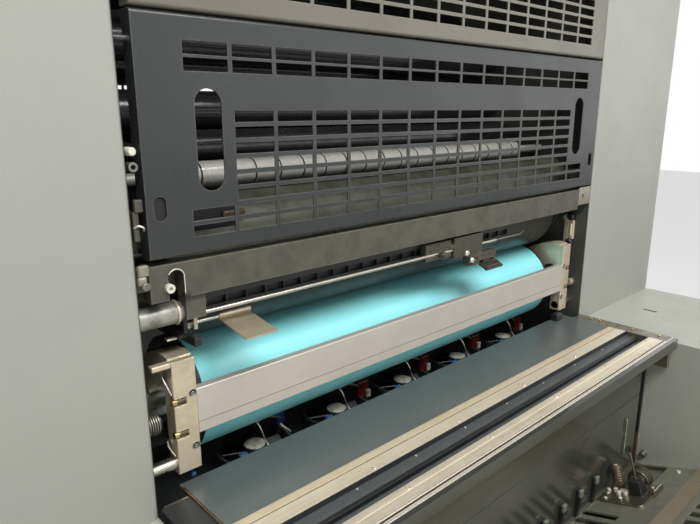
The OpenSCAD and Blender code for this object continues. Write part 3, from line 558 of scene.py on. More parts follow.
    BRASS = MachineFinish(
        "brass", (196, 182, 128), (150, 132, 84), 0.28, metal=0.9, grain=Grain.SMOOTH, patch=0.01
    )
    LABEL = MachineFinish(
        "hub_cap", (176, 174, 160), (108, 110, 102), 0.4, grain=Grain.SMOOTH, patch=0.012, patch_share=0.9
    )
    WHITE_STEEL = MachineFinish(
        "white_steel", (232, 226, 214), (205, 196, 182), 0.28, metal=0.6, grain=Grain.SMOOTH, patch=0.01
    )
    RUST_RUBBER = MachineFinish(
        "brown_rubber", (84, 62, 46), (58, 46, 38), 0.6, grain=Grain.SMOOTH, patch=0.02
    )
    GREEN_GREY = MachineFinish("green_grey_plastic", (112, 120, 108), (90, 98, 88), 0.4, grain=Grain.SMOOTH)
    JACKET = JacketFinish("blanket_jacket", (140, 231, 236), (172, 236, 236), (100, 178, 186))
    CREAM = MachineFinish(
        "cream_strip", (222, 208, 178), (206, 184, 156), 0.34, metal=0.3, grain=Grain.ALONG_PRESS, patch=0.06
    )
    RAIL = RailFinish("worn_rail", (230, 219, 193), (242, 232, 208), (128, 117, 98))


class FinishRack:
    """Builds each finish once and hands it out."""

    def __init__(self) -> None:
        """Start with no finish made."""
        self._made: dict[Finish, bpy.types.Material] = {}

    def get(self, finish: Finish) -> bpy.types.Material:
        """Hand out a finish.

        Args:
            finish: The finish.

        Returns:
            Its material, made the first time that it is asked for.
        """
        if finish not in self._made:
            self._made[finish] = finish.value.build()
        return self._made[finish]


@dataclass(frozen=True)
class PressDatum:
    """The swinging guard's front plane and lower edge, from which the face is measured."""

    front: float
    guard_edge: float

    @classmethod
    def from_frame(cls) -> PressDatum:
        """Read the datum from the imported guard."""
        low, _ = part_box("main_guard")
        return cls(front=low.y, guard_edge=low.z)

    def metres(self, points: np.ndarray) -> np.ndarray:
        """Points in metres in the frame of the press: (x, y + front, z + edge)."""
        return np.asarray(points, float) * MM + np.array([0.0, self.front, self.guard_edge])


class Axis(Enum):
    """Direction of a turned or extruded piece: the index along it and the two across it."""

    X = (0, 1, 2)
    Y = (1, 2, 0)
    Z = (2, 0, 1)


X, Y, Z = Axis


def circle(radius: float, sides: int = 24) -> np.ndarray:
    """Outline of a circle: (radius cos a, radius sin a) for equal steps of a."""
    angle = np.arange(sides) * 2 * math.pi / sides
    return radius * np.stack([np.cos(angle), np.sin(angle)], 1)


def rounded(width: float, height: float, radius: float) -> np.ndarray:
    """Outline of a rectangle with round corners.

    Args:
        width: Size along the first axis.
        height: Size along the second axis.
        radius: Corner radius.

    Returns:
        Points round the outline: each corner's centre plus the radius times
        (cos a, sin a) over its quarter turn.
    """
    radius = max(min(radius, width / 2 - 1e-3, height / 2 - 1e-3), 1e-3)
    quarter = np.linspace(0, math.pi / 2, CORNER_POINTS)
    angle = quarter[None, :] + np.arange(4)[:, None] * math.pi / 2
    signs = np.array([[1, 1], [-1, 1], [-1, -1], [1, -1]], float)
    centre = signs * [width / 2 - radius, height / 2 - radius]
    arc = radius * np.stack([np.cos(angle), np.sin(angle)], 2)
    return (centre[:, None, :] + arc).reshape(-1, 2)


def stacked(
    axis: Axis, stations: Sequence[float], outlines: Sequence[np.ndarray], centre: Place = (0, 0, 0)
) -> np.ndarray:
    """Set outlines at stations along an axis.

    Args:
        axis: The direction of the stack.
        stations: Distance of each outline along it.
        outlines: One outline for each station, all with as many points.
        centre: Where the axis starts.

    Returns:
        Rings of points: the centre plus the station along the axis plus the outline
        across it.
    """
    along, first, second = axis.value
    rings = np.zeros((len(stations), len(outlines[0]), 3))
    rings[:, :, along] = np.asarray(stations, float)[:, None]
    rings[:, :, [first, second]] = np.stack(outlines)
    return rings + np.asarray(centre, float)


def turned(axis: Axis, profile: Profile, centre: Place, sides: int = 24) -> np.ndarray:
    """Turned piece: a circle of each profile row's radius at its station."""
    stations, radii = zip(*profile)
    return stacked(axis, stations, [circle(radius, sides) for radius in radii], centre)


def rounded_bar(axis: Axis, low: Place, high: Place, radius: float, chamfer: float) -> np.ndarray:
    """Box between two corners, with round long edges and chamfered ends.

    Args:
        axis: The direction of the long edges.
        low: Lowest corner.
        high: Highest corner.
        radius: Radius of the long edges.
        chamfer: Width of the end chamfers.

    Returns:
        Four rings: the outline drawn in by the chamfer at both ends and full between.
    """
    low_a, high_a = np.asarray(low, float), np.asarray(high, float)
    along, first, second = axis.value
    size = high_a - low_a
    chamfer = min(chamfer, size.min() / 3)
    full = rounded(size[first], size[second], radius)
    small = rounded(size[first] - 2 * chamfer, size[second] - 2 * chamfer, radius - chamfer)
    half = size[along] / 2
    stations = [-half, chamfer - half, half - chamfer, half]
    return stacked(axis, stations, [small, full, full, small], tuple((low_a + high_a) / 2))


def spline(knots: Path, count: int) -> np.ndarray:
    """Smooth curve through knots.

    Args:
        knots: Points that the curve passes.
        count: Number of points on the curve.

    Returns:
        Points of the cardinal cubic: between two knots the blend of their places and of
        half the chord between their neighbours, by the Hermite polynomials.
    """
    k = np.asarray(knots, float)
    slope = np.gradient(k, axis=0)
    t = np.linspace(0, len(k) - 1, count)
    i = np.minimum(t.astype(int), len(k) - 2)
    s = (t - i)[:, None]
    return (
        (2 * s**3 - 3 * s**2 + 1) * k[i]
        + (s**3 - 2 * s**2 + s) * slope[i]
        + (3 * s**2 - 2 * s**3) * k[i + 1]
        + (s**3 - s**2) * slope[i + 1]
    )


def tube(path: np.ndarray, radius: float, sides: int = 8, up: Place = (0.13, 0.21, 0.97)) -> np.ndarray:
    """Round rod along a path.

    Args:
        path: Points of its centre line.
        radius: Radius of the rod.
        sides: Number of sides.
        up: A direction that the path never takes.

    Returns:
        Rings: each path point plus a circle in the plane across the path there.
    """
    run = np.gradient(path, axis=0)
    run /= np.linalg.norm(run, axis=1)[:, None]
    side = np.cross(np.asarray(up, float), run)
    side /= np.linalg.norm(side, axis=1)[:, None]
    lift = np.cross(run, side)
    ring = circle(radius, sides)
    return path[:, None] + ring[None, :, :1] * side[:, None] + ring[None, :, 1:] * lift[:, None]


def socket_screw(
    axis: Axis, centre: Place, radius: float, height: float, toward: int = 1
) -> np.ndarray:
    """Cap screw head with a hexagon socket.

    Args:
        axis: The direction of the screw.
        centre: Middle of the seat under the head.
        radius: Radius of the head.
        height: Height of the head.
        toward: 1 if the head points up the axis, -1 if it points down.

    Returns:
        Rings up the side, over the rounded rim and down into the socket. The socket's
        radius at angle a is the flat's distance over the cosine of a folded into one
        sixth of a turn.
    """
    angle = np.arange(SCREW_SIDES) * 2 * math.pi / SCREW_SIDES
    folded = np.mod(angle, math.pi / 3) - math.pi / 6
    outer = circle(radius, SCREW_SIDES)
    rim, tip = circle(0.88 * radius, SCREW_SIDES), circle(0.05 * radius, SCREW_SIDES)
    hexagon = (0.48 * radius / np.cos(folded))[:, None] * circle(1.0, SCREW_SIDES)
    stations = toward * height * np.array([0.0, 0.85, 1.0, 1.0, 0.45, 0.40])
    return stacked(axis, stations, (outer, outer, rim, hexagon, hexagon, tip), centre)


def hinged(rings: np.ndarray, degrees: float, place: Place) -> np.ndarray:
    """Turn a shape about the length of the press, and move it.

    Args:
        rings: The shape.
        degrees: Angle a that its far side drops by.
        place: Where its origin goes.

    Returns:
        The place plus (x, y cos a + z sin a, z cos a - y sin a).
    """
    angle = math.radians(degrees)
    c, s = math.cos(angle), math.sin(angle)
    return rings @ np.array([[1, 0, 0], [0, c, -s], [0, s, c]]) + np.array(place)


def ring_faces(rings: int, points: int, first: int, looped: bool) -> list[list[int]]:
    """Faces of one closed surface.

    Args:
        rings: Number of its rings.
        points: Number of points in each ring.
        first: Index of its first point.
        looped: True where the last ring joins the first.

    Returns:
        A quad for each cell of the grid, and a cap at both ends of an open stack.
    """
    index = first + np.arange(rings * points).reshape(rings, points)
    upper = np.roll(index, -1, axis=0) if looped else index[1:]
    lower = index if looped else index[:-1]
    quads = np.stack([lower, np.roll(lower, -1, axis=1), np.roll(upper, -1, axis=1), upper], axis=2)
    caps = [] if looped else [index[0, ::-1].tolist(), index[-1].tolist()]
    return quads.reshape(-1, 4).tolist() + caps


@dataclass
class Dresser:
    """Gives the CAD nodes their finishes."""

    rack: FinishRack
    nodes: Mapping[str, bpy.types.Object]
    finishes: dict[Finish, tuple[str, ...]] = field(
        default_factory=lambda: {
            Finish.COVER: ("left_upper_cover", "right_upper_cover", "roof_cover", "rear_panel"),
            Finish.LOW_COVER: ("left_lower_cover", "right_lower_cover"),
            Finish.FRAME: ("left_side_frame", "right_side_frame"),
            Finish.BASE: ("base_frame", "levelling_feet"),
            Finish.ANTHRACITE: ("main_guard", "rear_guard"),
            Finish.UPPER: ("upper_guard", "top_guard"),
            Finish.BEAM: ("cross_beam",),
            Finish.IVORY: ("beam_ring_roller",),
            Finish.BLACK: ("blower_strip", "bearer_rings", "stop_finger", "sheet_fingers"),
            Finish.BLACK_SHEET: ("fan_shelf", *(f"fan_rotor_{i}" for i in range(1, 6))),
            Finish.STEEL: ("guide_rods", "nip_guard_shaft"),
            Finish.PIPE: ("support_pipe",),
            Finish.GROUND_STEEL: ("blanket_cylinder",),
            Finish.DARK_STEEL: ("plate_cylinder",),
            Finish.SHELL: ("plate_guide_shell",),
            Finish.CHROME: ("chrome_roller",),
            Finish.RUBBER: ("ink_roller", "hidden_rollers"),
            Finish.JACKET: ("blanket",),
            Finish.BAR: ("nip_guard_bar",),
            Finish.ARM: ("nip_guard_arms", "frame_link"),
            Finish.TRAY: ("tray_plate",),
            Finish.TRAY_STEP: ("tray_step",),
            Finish.TRAY_END: ("tray_end_frames",),
            Finish.RAIL: ("tray_rails",),
            Finish.PANEL: ("tray_box",),
            Finish.DECK: ("guide_deck",),
            Finish.CROSS_BAR: ("front_cross_bar",),
            Finish.GRIPPER: ("gripper_clamp",),
            Finish.CLAMP: ("sensor_clamp",),
            Finish.BEIGE: ("lifter_plate",),
        }
    )

    def dress(self) -> None:
        """Put each finish on its nodes, and stop if a node is left plain."""
        for finish, names in self.finishes.items():
            for name in names:
                slots = self.nodes[name].data.materials
                slots.clear()
                slots.append(self.rack.get(finish))
        bare = set(self.nodes) - {n for names in self.finishes.values() for n in names}
        if bare:
            raise ValueError(f"nodes without a finish: {sorted(bare)}")
        LOG.info("dressed %d nodes", len(self.nodes))


@dataclass
class Trim:
    """Small pieces of one part of the press, which the solids leave out."""

    datum: PressDatum
    rack: FinishRack
    body: str = "press"

    def piece(
        self,
        name: str,
        finish: Finish,
        slot: str,
        *shapes: np.ndarray,
        body: str = "",
        looped: bool = False,
    ) -> bpy.types.Object:
        """Make one visible piece, at the origin and unturned, with its place in its mesh.

        Args:
            name: The piece's name.
            finish: What its surface is like.
            slot: A material slot's name; not used.
            shapes: Its closed surfaces, as rings of points in millimetres from the datum.
            body: The CAD body that it rides on, where it isn't the body of all the others.
            looped: True where the last ring of each shape joins the first.

        Returns:
            The new object.
        """
        body = body or self.body
        points, faces = np.zeros((0, 3)), []
        for rings in shapes:
            faces += ring_faces(*rings.shape[:2], len(points), looped)
            points = np.concatenate([points, rings.reshape(-1, 3)])
        mesh = bpy.data.meshes.new(name)
        mesh.from_pydata(self.datum.metres(points).tolist(), [], faces)
        shell = bmesh.new()
        shell.from_mesh(mesh)
        bmesh.ops.recalc_face_normals(shell, faces=shell.faces)
        shell.to_mesh(mesh)
        shell.free()
        mesh.polygons.foreach_set("use_smooth", np.ones(len(mesh.polygons), bool))
        mesh.set_sharp_from_angle(angle=CREASE)
        mesh.materials.append(self.rack.get(finish))
        made = bpy.data.objects.new(name, mesh)
        bpy.context.scene.collection.objects.link(made)
        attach(made, body)
        LOG.info("%s: %d faces on %s", name, len(mesh.polygons), body)
        return made


@dataclass
class NipGuardTrim(Trim):
    """Bar and arms in front of the blanket cylinder, with their bolts, springs and seal."""

    body: str = "nip_guard"
    arm_in: float = 535.5
    arm_out: float = 572.5
    front: float = 25.0
    back: float = 52.0
    face_depth: float = 12.0
    low: float = -336.0
    high: float = -157.0
    bevel: float = 0.8
    pocket_heights: tuple[float, float] = (-221.0, -273.0)
    pocket_depth: float = 20.0
    pocket_half: float = 6.0
    arc_centre: tuple[float, float] = (39.0, -322.0)
    outer_arc: float = 170.0
    inner_arc: float = 112.0
    journal: tuple[float, float] = (150.0, -265.0)
    journal_clear: float = 53.0
    hole_heights: tuple[float, float] = (-212.0, -298.0)
    bar_outline: Profile = (
        (25, -279.5), (26, -280.5), (39, -280.5), (39, -272.5), (30, -272.5), (30, -216.5), (39, -216.5),
        (39, -208.5), (26, -208.5), (25, -209.5),
    )
    bolt_profile: Profile = ((1.6, 1.5), (1.6, 4.0), (0.6, 5.2), (-6, 5.2), (-7, 3.2), (-10, 3.2))
    nut_profile: Profile = (
        (-9, 1.0), (-9, 4.9), (-12, 4.9), (-12, 3.8), (-13.4, 3.8), (-13.4, 4.9), (-16, 4.9), (-16, 3.8),
        (-17.2, 3.8), (-17.2, 4.9), (-19.8, 4.9), (-19.8, 1.0),
    )
    rim_profile: Profile = ((-0.5, 5.4), (-0.5, 6.8), (0.3, 7.0), (0.3, 5.4))
    well_profile: Profile = ((0.4, 1.0), (0.4, 5.5), (-0.2, 5.5), (-0.2, 1.0))
    leaf_paths: tuple[Path, ...] = (
        ((575.4, 54, -174), (578.5, 45, -183), (577.0, 35, -195), (574.4, 27, -207)),
        ((575.4, 51, -290), (577.5, 44, -296), (576.0, 37, -301), (574.4, 30, -306)),
    )

    def bar(self) -> None:
        """Make the bar, a channel that is open at the back, and the darker strip near its lower edge that
        paints the shade of a shallow groove.
        """
        outline = np.array(self.bar_outline)
        channel = stacked(X, (-self.arm_in, self.arm_in), (outline, outline))
        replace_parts(self.piece("nip_bar", Finish.BAR, "bar_aluminium", channel), "nip_guard_bar")
        # Painted shade: a thin darker strip stands in for the shade in the groove across the bar's face.
        low, high = (-535, self.front - 0.25, -263.0), (535, self.front + 0.2, -261.6)
        groove_shade = rounded_bar(X, low, high, 0.2, 0.1)
        self.piece("nip_bar_groove_shade", Finish.DULL_STEEL, "bar_aluminium", groove_shade)

    def arm(self, side: int) -> list[np.ndarray]:
        """Make one arm.

        Args:
            side: -1 for the left arm and 1 for the right one.

        Returns:
            Its front with the two open pockets, its back and the curved cheek. The cheek's
            outline runs over the outer arc, which is the centre plus the radius times
            (sin a, cos a), down to the clearance round the journal and back over the inner
            arc.
        """
        inner, outer = side * self.arm_in, side * self.arm_out
        notch, half = outer - side * self.pocket_depth, self.pocket_half
        middle = self.front + self.face_depth
        outline = [(self.low, inner), (self.low, outer)]
        for z in sorted(self.pocket_heights):
            outline += [(z - half, outer), (z - half, notch), (z + half, notch), (z + half, outer)]
        face = np.array([*outline, (self.high, outer), (self.high, inner)])
        small = face.copy()
        small[:, 1] += np.where(face[:, 1] == inner, side, -side) * self.bevel
        small[:2, 0] += self.bevel
        small[-2:, 0] -= self.bevel
        front = stacked(Y, (self.front, self.front + 1, middle), (small, face, face))
        rear = np.array([
            (middle, self.low), (self.back, self.low),
            (self.back, self.high + 4.5), (middle, self.high + 2),
        ])
        outer_turn, inner_turn, clear_turn = (
            np.radians(np.linspace(*span)) for span in ((4.5, 36.3, 14), (37.7, 6.3, 14), (101, 143.4, 7))
        )
        bow = np.stack([np.sin(outer_turn), np.cos(outer_turn)], 1) * self.outer_arc
        clear = np.stack([np.cos(clear_turn), np.sin(clear_turn)], 1) * self.journal_clear
        hollow = np.stack([np.sin(inner_turn), np.cos(inner_turn)], 1) * self.inner_arc
        cheek = np.concatenate([bow + self.arc_centre, clear + self.journal, hollow + self.arc_centre])
        span = sorted((inner, outer))
        return [front, stacked(X, span, (rear, rear)), stacked(X, span, (cheek, cheek))]

    def build(self) -> None:
        """Make the bar and the arms, their bolts and screws, the leaf springs and the seal."""
        self.bar()
        lug = rounded_bar(X, (-600.5, 26, -165), (-572.5, 39, -157), 1.5, 1)
        arms = self.piece("nip_arms", Finish.ARM, "arm_nickel", *self.arm(-1), *self.arm(1), lug)
        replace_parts(arms, "nip_guard_arms")
        bolts, nuts, rims, wells, leaves, screws = [], [], [], [], [], []
        for side in (-1, 1):
            for z in self.pocket_heights:
                for made, profile in ((bolts, self.bolt_profile), (nuts, self.nut_profile)):
                    rows = [(side * along, radius) for along, radius in profile]
                    made.append(turned(X, rows, (side * self.arm_out, self.front + 6, z), 18))
            for z in self.hole_heights:
                x, y = side * (self.arm_in + 7), self.front
                rims.append(turned(Y, self.rim_profile, (x, y, z), 28))
                wells.append(turned(Y, self.well_profile, (x, y, z), 28))
                screws.append(socket_screw(Y, (x, y - 0.1, z - 1.2), 3.6, 0.9, -1))
            for knots in self.leaf_paths:
                leaves.append(tube(spline([(side * x, y, z) for x, y, z in knots], 20), 1.5))
        self.piece("nip_pocket_bolts", Finish.BRASS, "arm_nickel", *bolts)
        self.piece("nip_pocket_nuts", Finish.BRONZE, "dark_bronze", *nuts)
        self.piece("nip_hole_rims", Finish.STEEL, "arm_nickel", *rims, looped=True)
        self.piece("nip_hole_wells", Finish.BLACK, "black_steel", *wells)
        self.piece("nip_hole_screws", Finish.DULL_STEEL, "bright_steel", *screws)
        self.piece("nip_leaf_springs", Finish.STEEL, "bright_steel", *leaves)
        rear = self.front + self.face_depth
        low, high = (self.arm_out, self.front + 2, -334), (self.arm_out + 2.4, rear, -160)
        dark_strip = rounded_bar(Z, low, high, 1, 0.6)
        self.piece("nip_arm_seal", Finish.RUST_RUBBER, "ink_rubber", dark_strip)


@dataclass
class FanTrim(Trim):
    """Hub caps, leads and plugs of the cooling fans."""

    count: int = 5
    first_x: float = -388.0
    pitch: float = 197.0
    shelf: float = -401.0
    hub: Place = (0, 107, -395)
    cap_profile: Profile = ((0, 19.5), (0.8, 19.5), (1.2, 18.7), (1.2, 1))
    hose: Path = ((2, 102, -352), (26, 106, -351), (52, 110, -362), (74, 118, -376))
    drain: Path = ((-326, 118, -380), (-324, 114, -386), (-318, 108, -393), (-312, 104, -400))

    def build(self) -> None:
        """Make one cap per rotor, and the leads and plugs that stand on the shelf.

        Each shape is made at x 0 and moved to its fan's axis.
        """
        leads, hoses, plugs, tips, clips, bases = [], [], [], [], [], []
        foot = self.shelf
        lead = [(20, 34, foot), (11, 78, -391), (2, 100, -351), (-6, 140, -357), (-12, 180, foot)]
        for i in range(self.count):
            fan = np.array([self.first_x + i * self.pitch, 0, 0])
            cap = turned(Z, self.cap_profile, self.hub, 40) + fan
            body = f"fan_rotor_{i + 1}"
            self.piece(f"fan_hub_cap_{i + 1}", Finish.LABEL, "white_plastic", cap, body=body)
            leads.append(tube(spline(lead, 36) + fan, 1.3))
            hoses.append(tube(spline(self.hose, 28) + fan, 2.2))
            if i > 0:
                plugs.append(rounded_bar(Z, (66, 111, foot), (96, 130, -364), 3, 1.5) + fan)
                tips.append(rounded_bar(Z, (84, 105, foot), (96, 111.2, -384), 2, 1.2) + fan)
            else:
                clips.append(rounded_bar(Z, (54, 112, -381), (72, 126, -358), 3, 1.5) + fan)
                bases.append(rounded_bar(Z, (56, 114, foot), (70, 124, -380.5), 2, 1) + fan)
            clips.append(rounded_bar(X, (-44, 84, -397), (-28, 92, -391.5), 2, 1.2) + fan)
            bases.append(rounded_bar(X, (-70, 85, foot), (-30, 91, -396.5), 1.5, 1) + fan)
        self.piece("fan_leads", Finish.STEEL, "bright_steel", *leads)
        self.piece("fan_hoses", Finish.GREEN_GREY, "white_plastic", *hoses)
        self.piece("fan_red_plugs", Finish.SIGNAL_RED, "black_plastic", *plugs)
        self.piece("fan_plug_tips", Finish.LABEL, "white_plastic", *tips)
        self.piece("fan_blue_clips", Finish.SIGNAL_BLUE, "black_plastic", *clips)
        self.piece("fan_clip_bases", Finish.BLACK, "black_plastic", *bases)
        drain = tube(spline(self.drain, 28), 4.5, 12)
        self.piece("fan_drain_hose", Finish.DULL_STEEL, "pipe_steel", drain)


@dataclass
class TrayTrim(Trim):
    """Screws and edge strips of the tray, and dark strips that paint its shadow lines."""

    top: float = -357.0
    step_top: float = -367.0
    half: float = 570.0
    front_half: float = 610.0
    rail_lines: tuple[float, float] = (-135.0, -207.0)
    rail_pitch: float = 216.0
    step_line: float = -147.0
    step_first: float = -506.0
    step_pitch: float = 134.0
    step_count: int = 8
    end_x: float = 597.0
    end_lines: tuple[float, ...] = (-38, -62, -150, -215)

    def strip(
        self,
        front: float,
        rear: float,
        low: float,
        high: float,
        radius: float,
        chamfer: float,
        half: float | None = None,
    ) -> np.ndarray:
        """Make one flat strip along the tray.

        Args:
            front: Its front edge.
            rear: Its rear edge.
            low: Its underside, from the top of the tray.
            high: Its upper side, from the top of the tray.
            radius: Radius of its long edges.
            chamfer: Width of its end chamfers.
            half: Half its length, where it isn't that of the rails.

        Returns:
            Its rings of points.
        """
        half = half or self.half
        corners = (-half, front, self.top + low), (half, rear, self.top + high)
        return rounded_bar(X, *corners, radius, chamfer)

    def build(self) -> None:
        """Make the screws of the rails, the step and the end frame, the strips and the left end."""
        heads = [
            socket_screw(Z, ((i - 0.5) * self.rail_pitch, y, self.top), 3.6, 1.4)
            for y in self.rail_lines
            for i in range(-2, 4)
        ]
        steps = self.step_first + np.arange(self.step_count) * self.step_pitch
        dots = [socket_screw(Z, (x, self.step_line, self.step_top), 2.0, 1.2) for x in steps]
        ends = [socket_screw(Z, (self.end_x, y, self.top), 4.0, 2.4) for y in self.end_lines]
        self.piece("tray_rail_screws", Finish.WHITE_STEEL, "bright_steel", *heads)
        self.piece("tray_step_screws", Finish.ARM, "bright_steel", *dots)
        self.piece("tray_end_screws", Finish.BRASS, "bright_steel", *ends)
        front = self.strip(-243.4, -240.6, -0.2, 1.4, 0.8, 0.4, self.front_half)
        self.piece("tray_front_strip", Finish.WHITE_STEEL, "bright_steel", front)
        for name, finish, *sizes in (
            ("rail_cream_strip", Finish.CREAM, -113.5, -98.6, 0, 0.7, 0.3, 0.2),
            ("rail_dark_line", Finish.RUST_RUBBER, -115.6, -114.2, 0, 0.4, 0.2, 0.1),
            ("slot_light_strip", Finish.TRAY_STEP, -188.0, -177.0, -18, -15, 0.8, 0.4),
            ("rail_front_land", Finish.RAIL, -212.0, -199.2, -0.1, 0.4, 0.3, 0.15),
            ("rail_bright_line", Finish.WHITE_STEEL, -232.2, -229.4, -0.1, 1.2, 0.6, 0.3),
        ):
            self.piece(name, finish, "rail_aluminium", self.strip(*sizes))
        # Painted shadow: three black strips stand in for the shadow line under the first rail, the shade in
        # the slot behind the step and the shade in the groove by the front strip.
        shadow_lines = (
            self.strip(-143.4, -141.8, -10, -0.4, 0.3, 0.2),
            self.strip(-173.8, -166.5, -23, -9.3, 0.6, 0.3),
            self.strip(-236.4, -233.2, -0.1, 0.35, 0.2, 0.1),
        )
        self.piece("rail_shadow_lines", Finish.BLACK, "black_plastic", *shadow_lines)
        low = self.top - 0.1
        cover = rounded_bar(Y, (-618.5, -239, low), (-574.4, -6, self.top + 1.8), 0.8, 0.4)
        self.piece("tray_left_cover", Finish.BLACK_SHEET, "black_steel", cover)
        edge = rounded_bar(Y, (-574.6, -239, low), (-569.4, 20, self.top + 3.4), 1.4, 0.8)
        self.piece("tray_left_edge", Finish.BRONZE, "dark_bronze", edge)
        plug = rounded_bar(X, (-548, 36, self.top), (-540, 46, self.top + 7), 2, 1)
        self.piece("tray_blue_plug", Finish.SIGNAL_BLUE, "black_plastic", plug)


@dataclass
class BedTrim(Trim):
    """Screws of the gripper, finger tips, and fittings on the inner wall of the bed.

    Places on the deck are from a point of its rear edge: across, towards the tray and off
    the sheet. Each of the gripper's screws is a place with its radius and height.
    """

    deck: Place = (400.0, -184.0, -735.0)
    slope: float = 18.4
    knob: Place = (56, -37, 0)
    ridge_count: int = 7
    ridge_pitch: float = 5.6
    gripper_screws: tuple[tuple[Place, float, float], ...] = (
        ((29, -22, 5), 5.2, 8), ((33, -38, 5), 5.2, 10), ((17, -52, 5), 6.0, 12), ((22, -66, 5), 6.0, 9),
        ((-8, -30, 5), 4.6, 3), ((2, -62, 5), 4.6, 3), ((78, -108, 5), 4.6, 3),
    )
    drum: Place = (105, -60, 6)
    tip_half: float = 7.4
    drum_rings: tuple[float, ...] = (25.0, 17.0, 9.0)
    wall: float = 620.0
    finger_count: int = 13
    finger_first: float = 373.0
    finger_pitch: float = 78.0

    def lay(self, *shapes: np.ndarray) -> list[np.ndarray]:
        """Shapes moved onto the sloping deck."""
        return [hinged(rings, self.slope, self.deck) for rings in shapes]

    def gripper(self) -> None:
        """Make the screws, clips, knob, block and drum rings of the gripper."""
        screws = self.lay(*(socket_screw(Z, *screw) for screw in self.gripper_screws))
        self.piece("gripper_screws", Finish.WHITE_STEEL, "bright_steel", *screws)
        clips = self.lay(
            rounded_bar(Y, (24, -72, 5), (34, -52, 16), 2, 1),
            rounded_bar(X, (8, -30, 5), (26, -24, 11), 2, 1),
        )
        self.piece("gripper_bright_clips", Finish.WHITE_STEEL, "bright_steel", *clips)
        cap = turned(Z, [(63.8, 8), (66, 8), (66.8, 7), (66.8, 1)], self.knob, 28)
        self.piece("gripper_knob_cap", Finish.STEEL, "bright_steel", *self.lay(cap))
        rows = [(21.6, 11.2)]
        for z in np.arange(self.ridge_count) * self.ridge_pitch:
            rows += [(24 + z, 11.4), (24.2 + z, 12.9), (26.9 + z, 12.9), (27.1 + z, 11.4)]
        sleeve = turned(Z, [*rows, (63.8, 11.4), (64.4, 10)], self.knob, 32)
        self.piece("gripper_ridged_sleeve", Finish.BRONZE, "dark_bronze", *self.lay(sleeve))
        block = self.lay(
            rounded_bar(Z, (23.5, -104.5, 5), (44, -75.5, 40.6), 2, 1),
            rounded_bar(Z, (43, -104.5, 5), (56.5, -75.5, 34), 2, 1),
        )
        self.piece("gripper_black_block", Finish.BLACK, "black_plastic", *block)
        rings = self.lay(*(
            turned(X, [(0, r - 1.6), (0, r), (-0.8, r - 0.2), (-0.8, r - 1.4)], self.drum, 40)
            for r in self.drum_rings
        ))
        self.piece("gripper_drum_rings", Finish.STEEL, "bright_steel", *rings, looped=True)
        # Painted highlight: a white strip stands in for the highlight along the plate's upturned front edge.
        edge = self.lay(rounded_bar(X, (44, -127.4, 13.6), (88, -124.4, 15.6), 0.9, 0.6))
        self.piece("gripper_plate_edge_highlight", Finish.WHITE_STEEL, "bright_steel", *edge)
        screw = self.lay(socket_screw(Z, (193, -124, 0), 6.0, 4.0))
        self.piece("deck_plate_screw", Finish.WHITE_STEEL, "bright_steel", *screw)

    def build(self) -> None:
        """Make the pieces on the deck and those on the wall beside it."""
        self.gripper()
        fingers = self.finger_first - np.arange(self.finger_count) * self.finger_pitch
        half = self.tip_half
        tips = [rounded_bar(Z, (x - half, -197, -679), (x + half, -190, -662), 2, 1) for x in fingers]
        self.piece("sheet_finger_tips", Finish.GREEN_GREY, "black_plastic", *tips)
        rear = rounded_bar(X, (-598, -194.6, -733.5), (598, -190.4, -728.6), 1.2, 0.6)
        self.piece("deck_rear_edge", Finish.STEEL, "deck_steel", rear)
        # Painted shadow: a black strip stands in for the shadow gap between the panel's right edge and the
        # wall.
        dark_strip = rounded_bar(Z, (611.8, -187, -640), (619.8, -176, -372), 1.5, 0.8)
        self.piece("panel_end_shadow_gap", Finish.BLACK, "black_plastic", dark_strip)
        strip = rounded_bar(Z, (612.5, -187, -734), (619.8, -178, -640), 1.5, 0.8)
        self.piece("panel_end_strip", Finish.RUST_RUBBER, "ink_rubber", strip)
        rows = [(0, 9), (-3, 9), (-4, 7.5), (-13, 7.5), (-15, 5), (-15, 1)]
        knob = turned(X, rows, (self.wall, -206, -697), 28)
        self.piece("wall_stop_knob", Finish.DULL_STEEL, "bright_steel", knob)
        rows = [(0, 6), (0, 9.5), (-4, 9.5), (-5, 8.5), (-5, 6)]
        ring = turned(X, rows, (self.wall, -179, -654), 28)
        self.piece("wall_latch_ring", Finish.STEEL, "bright_steel", ring, looped=True)
        rod = tube(np.linspace((529, -187.5, -672), (529, -187.5, -571), 12), 2.0, 10)
        self.piece("panel_latch_rod", Finish.STEEL, "bright_steel", rod)


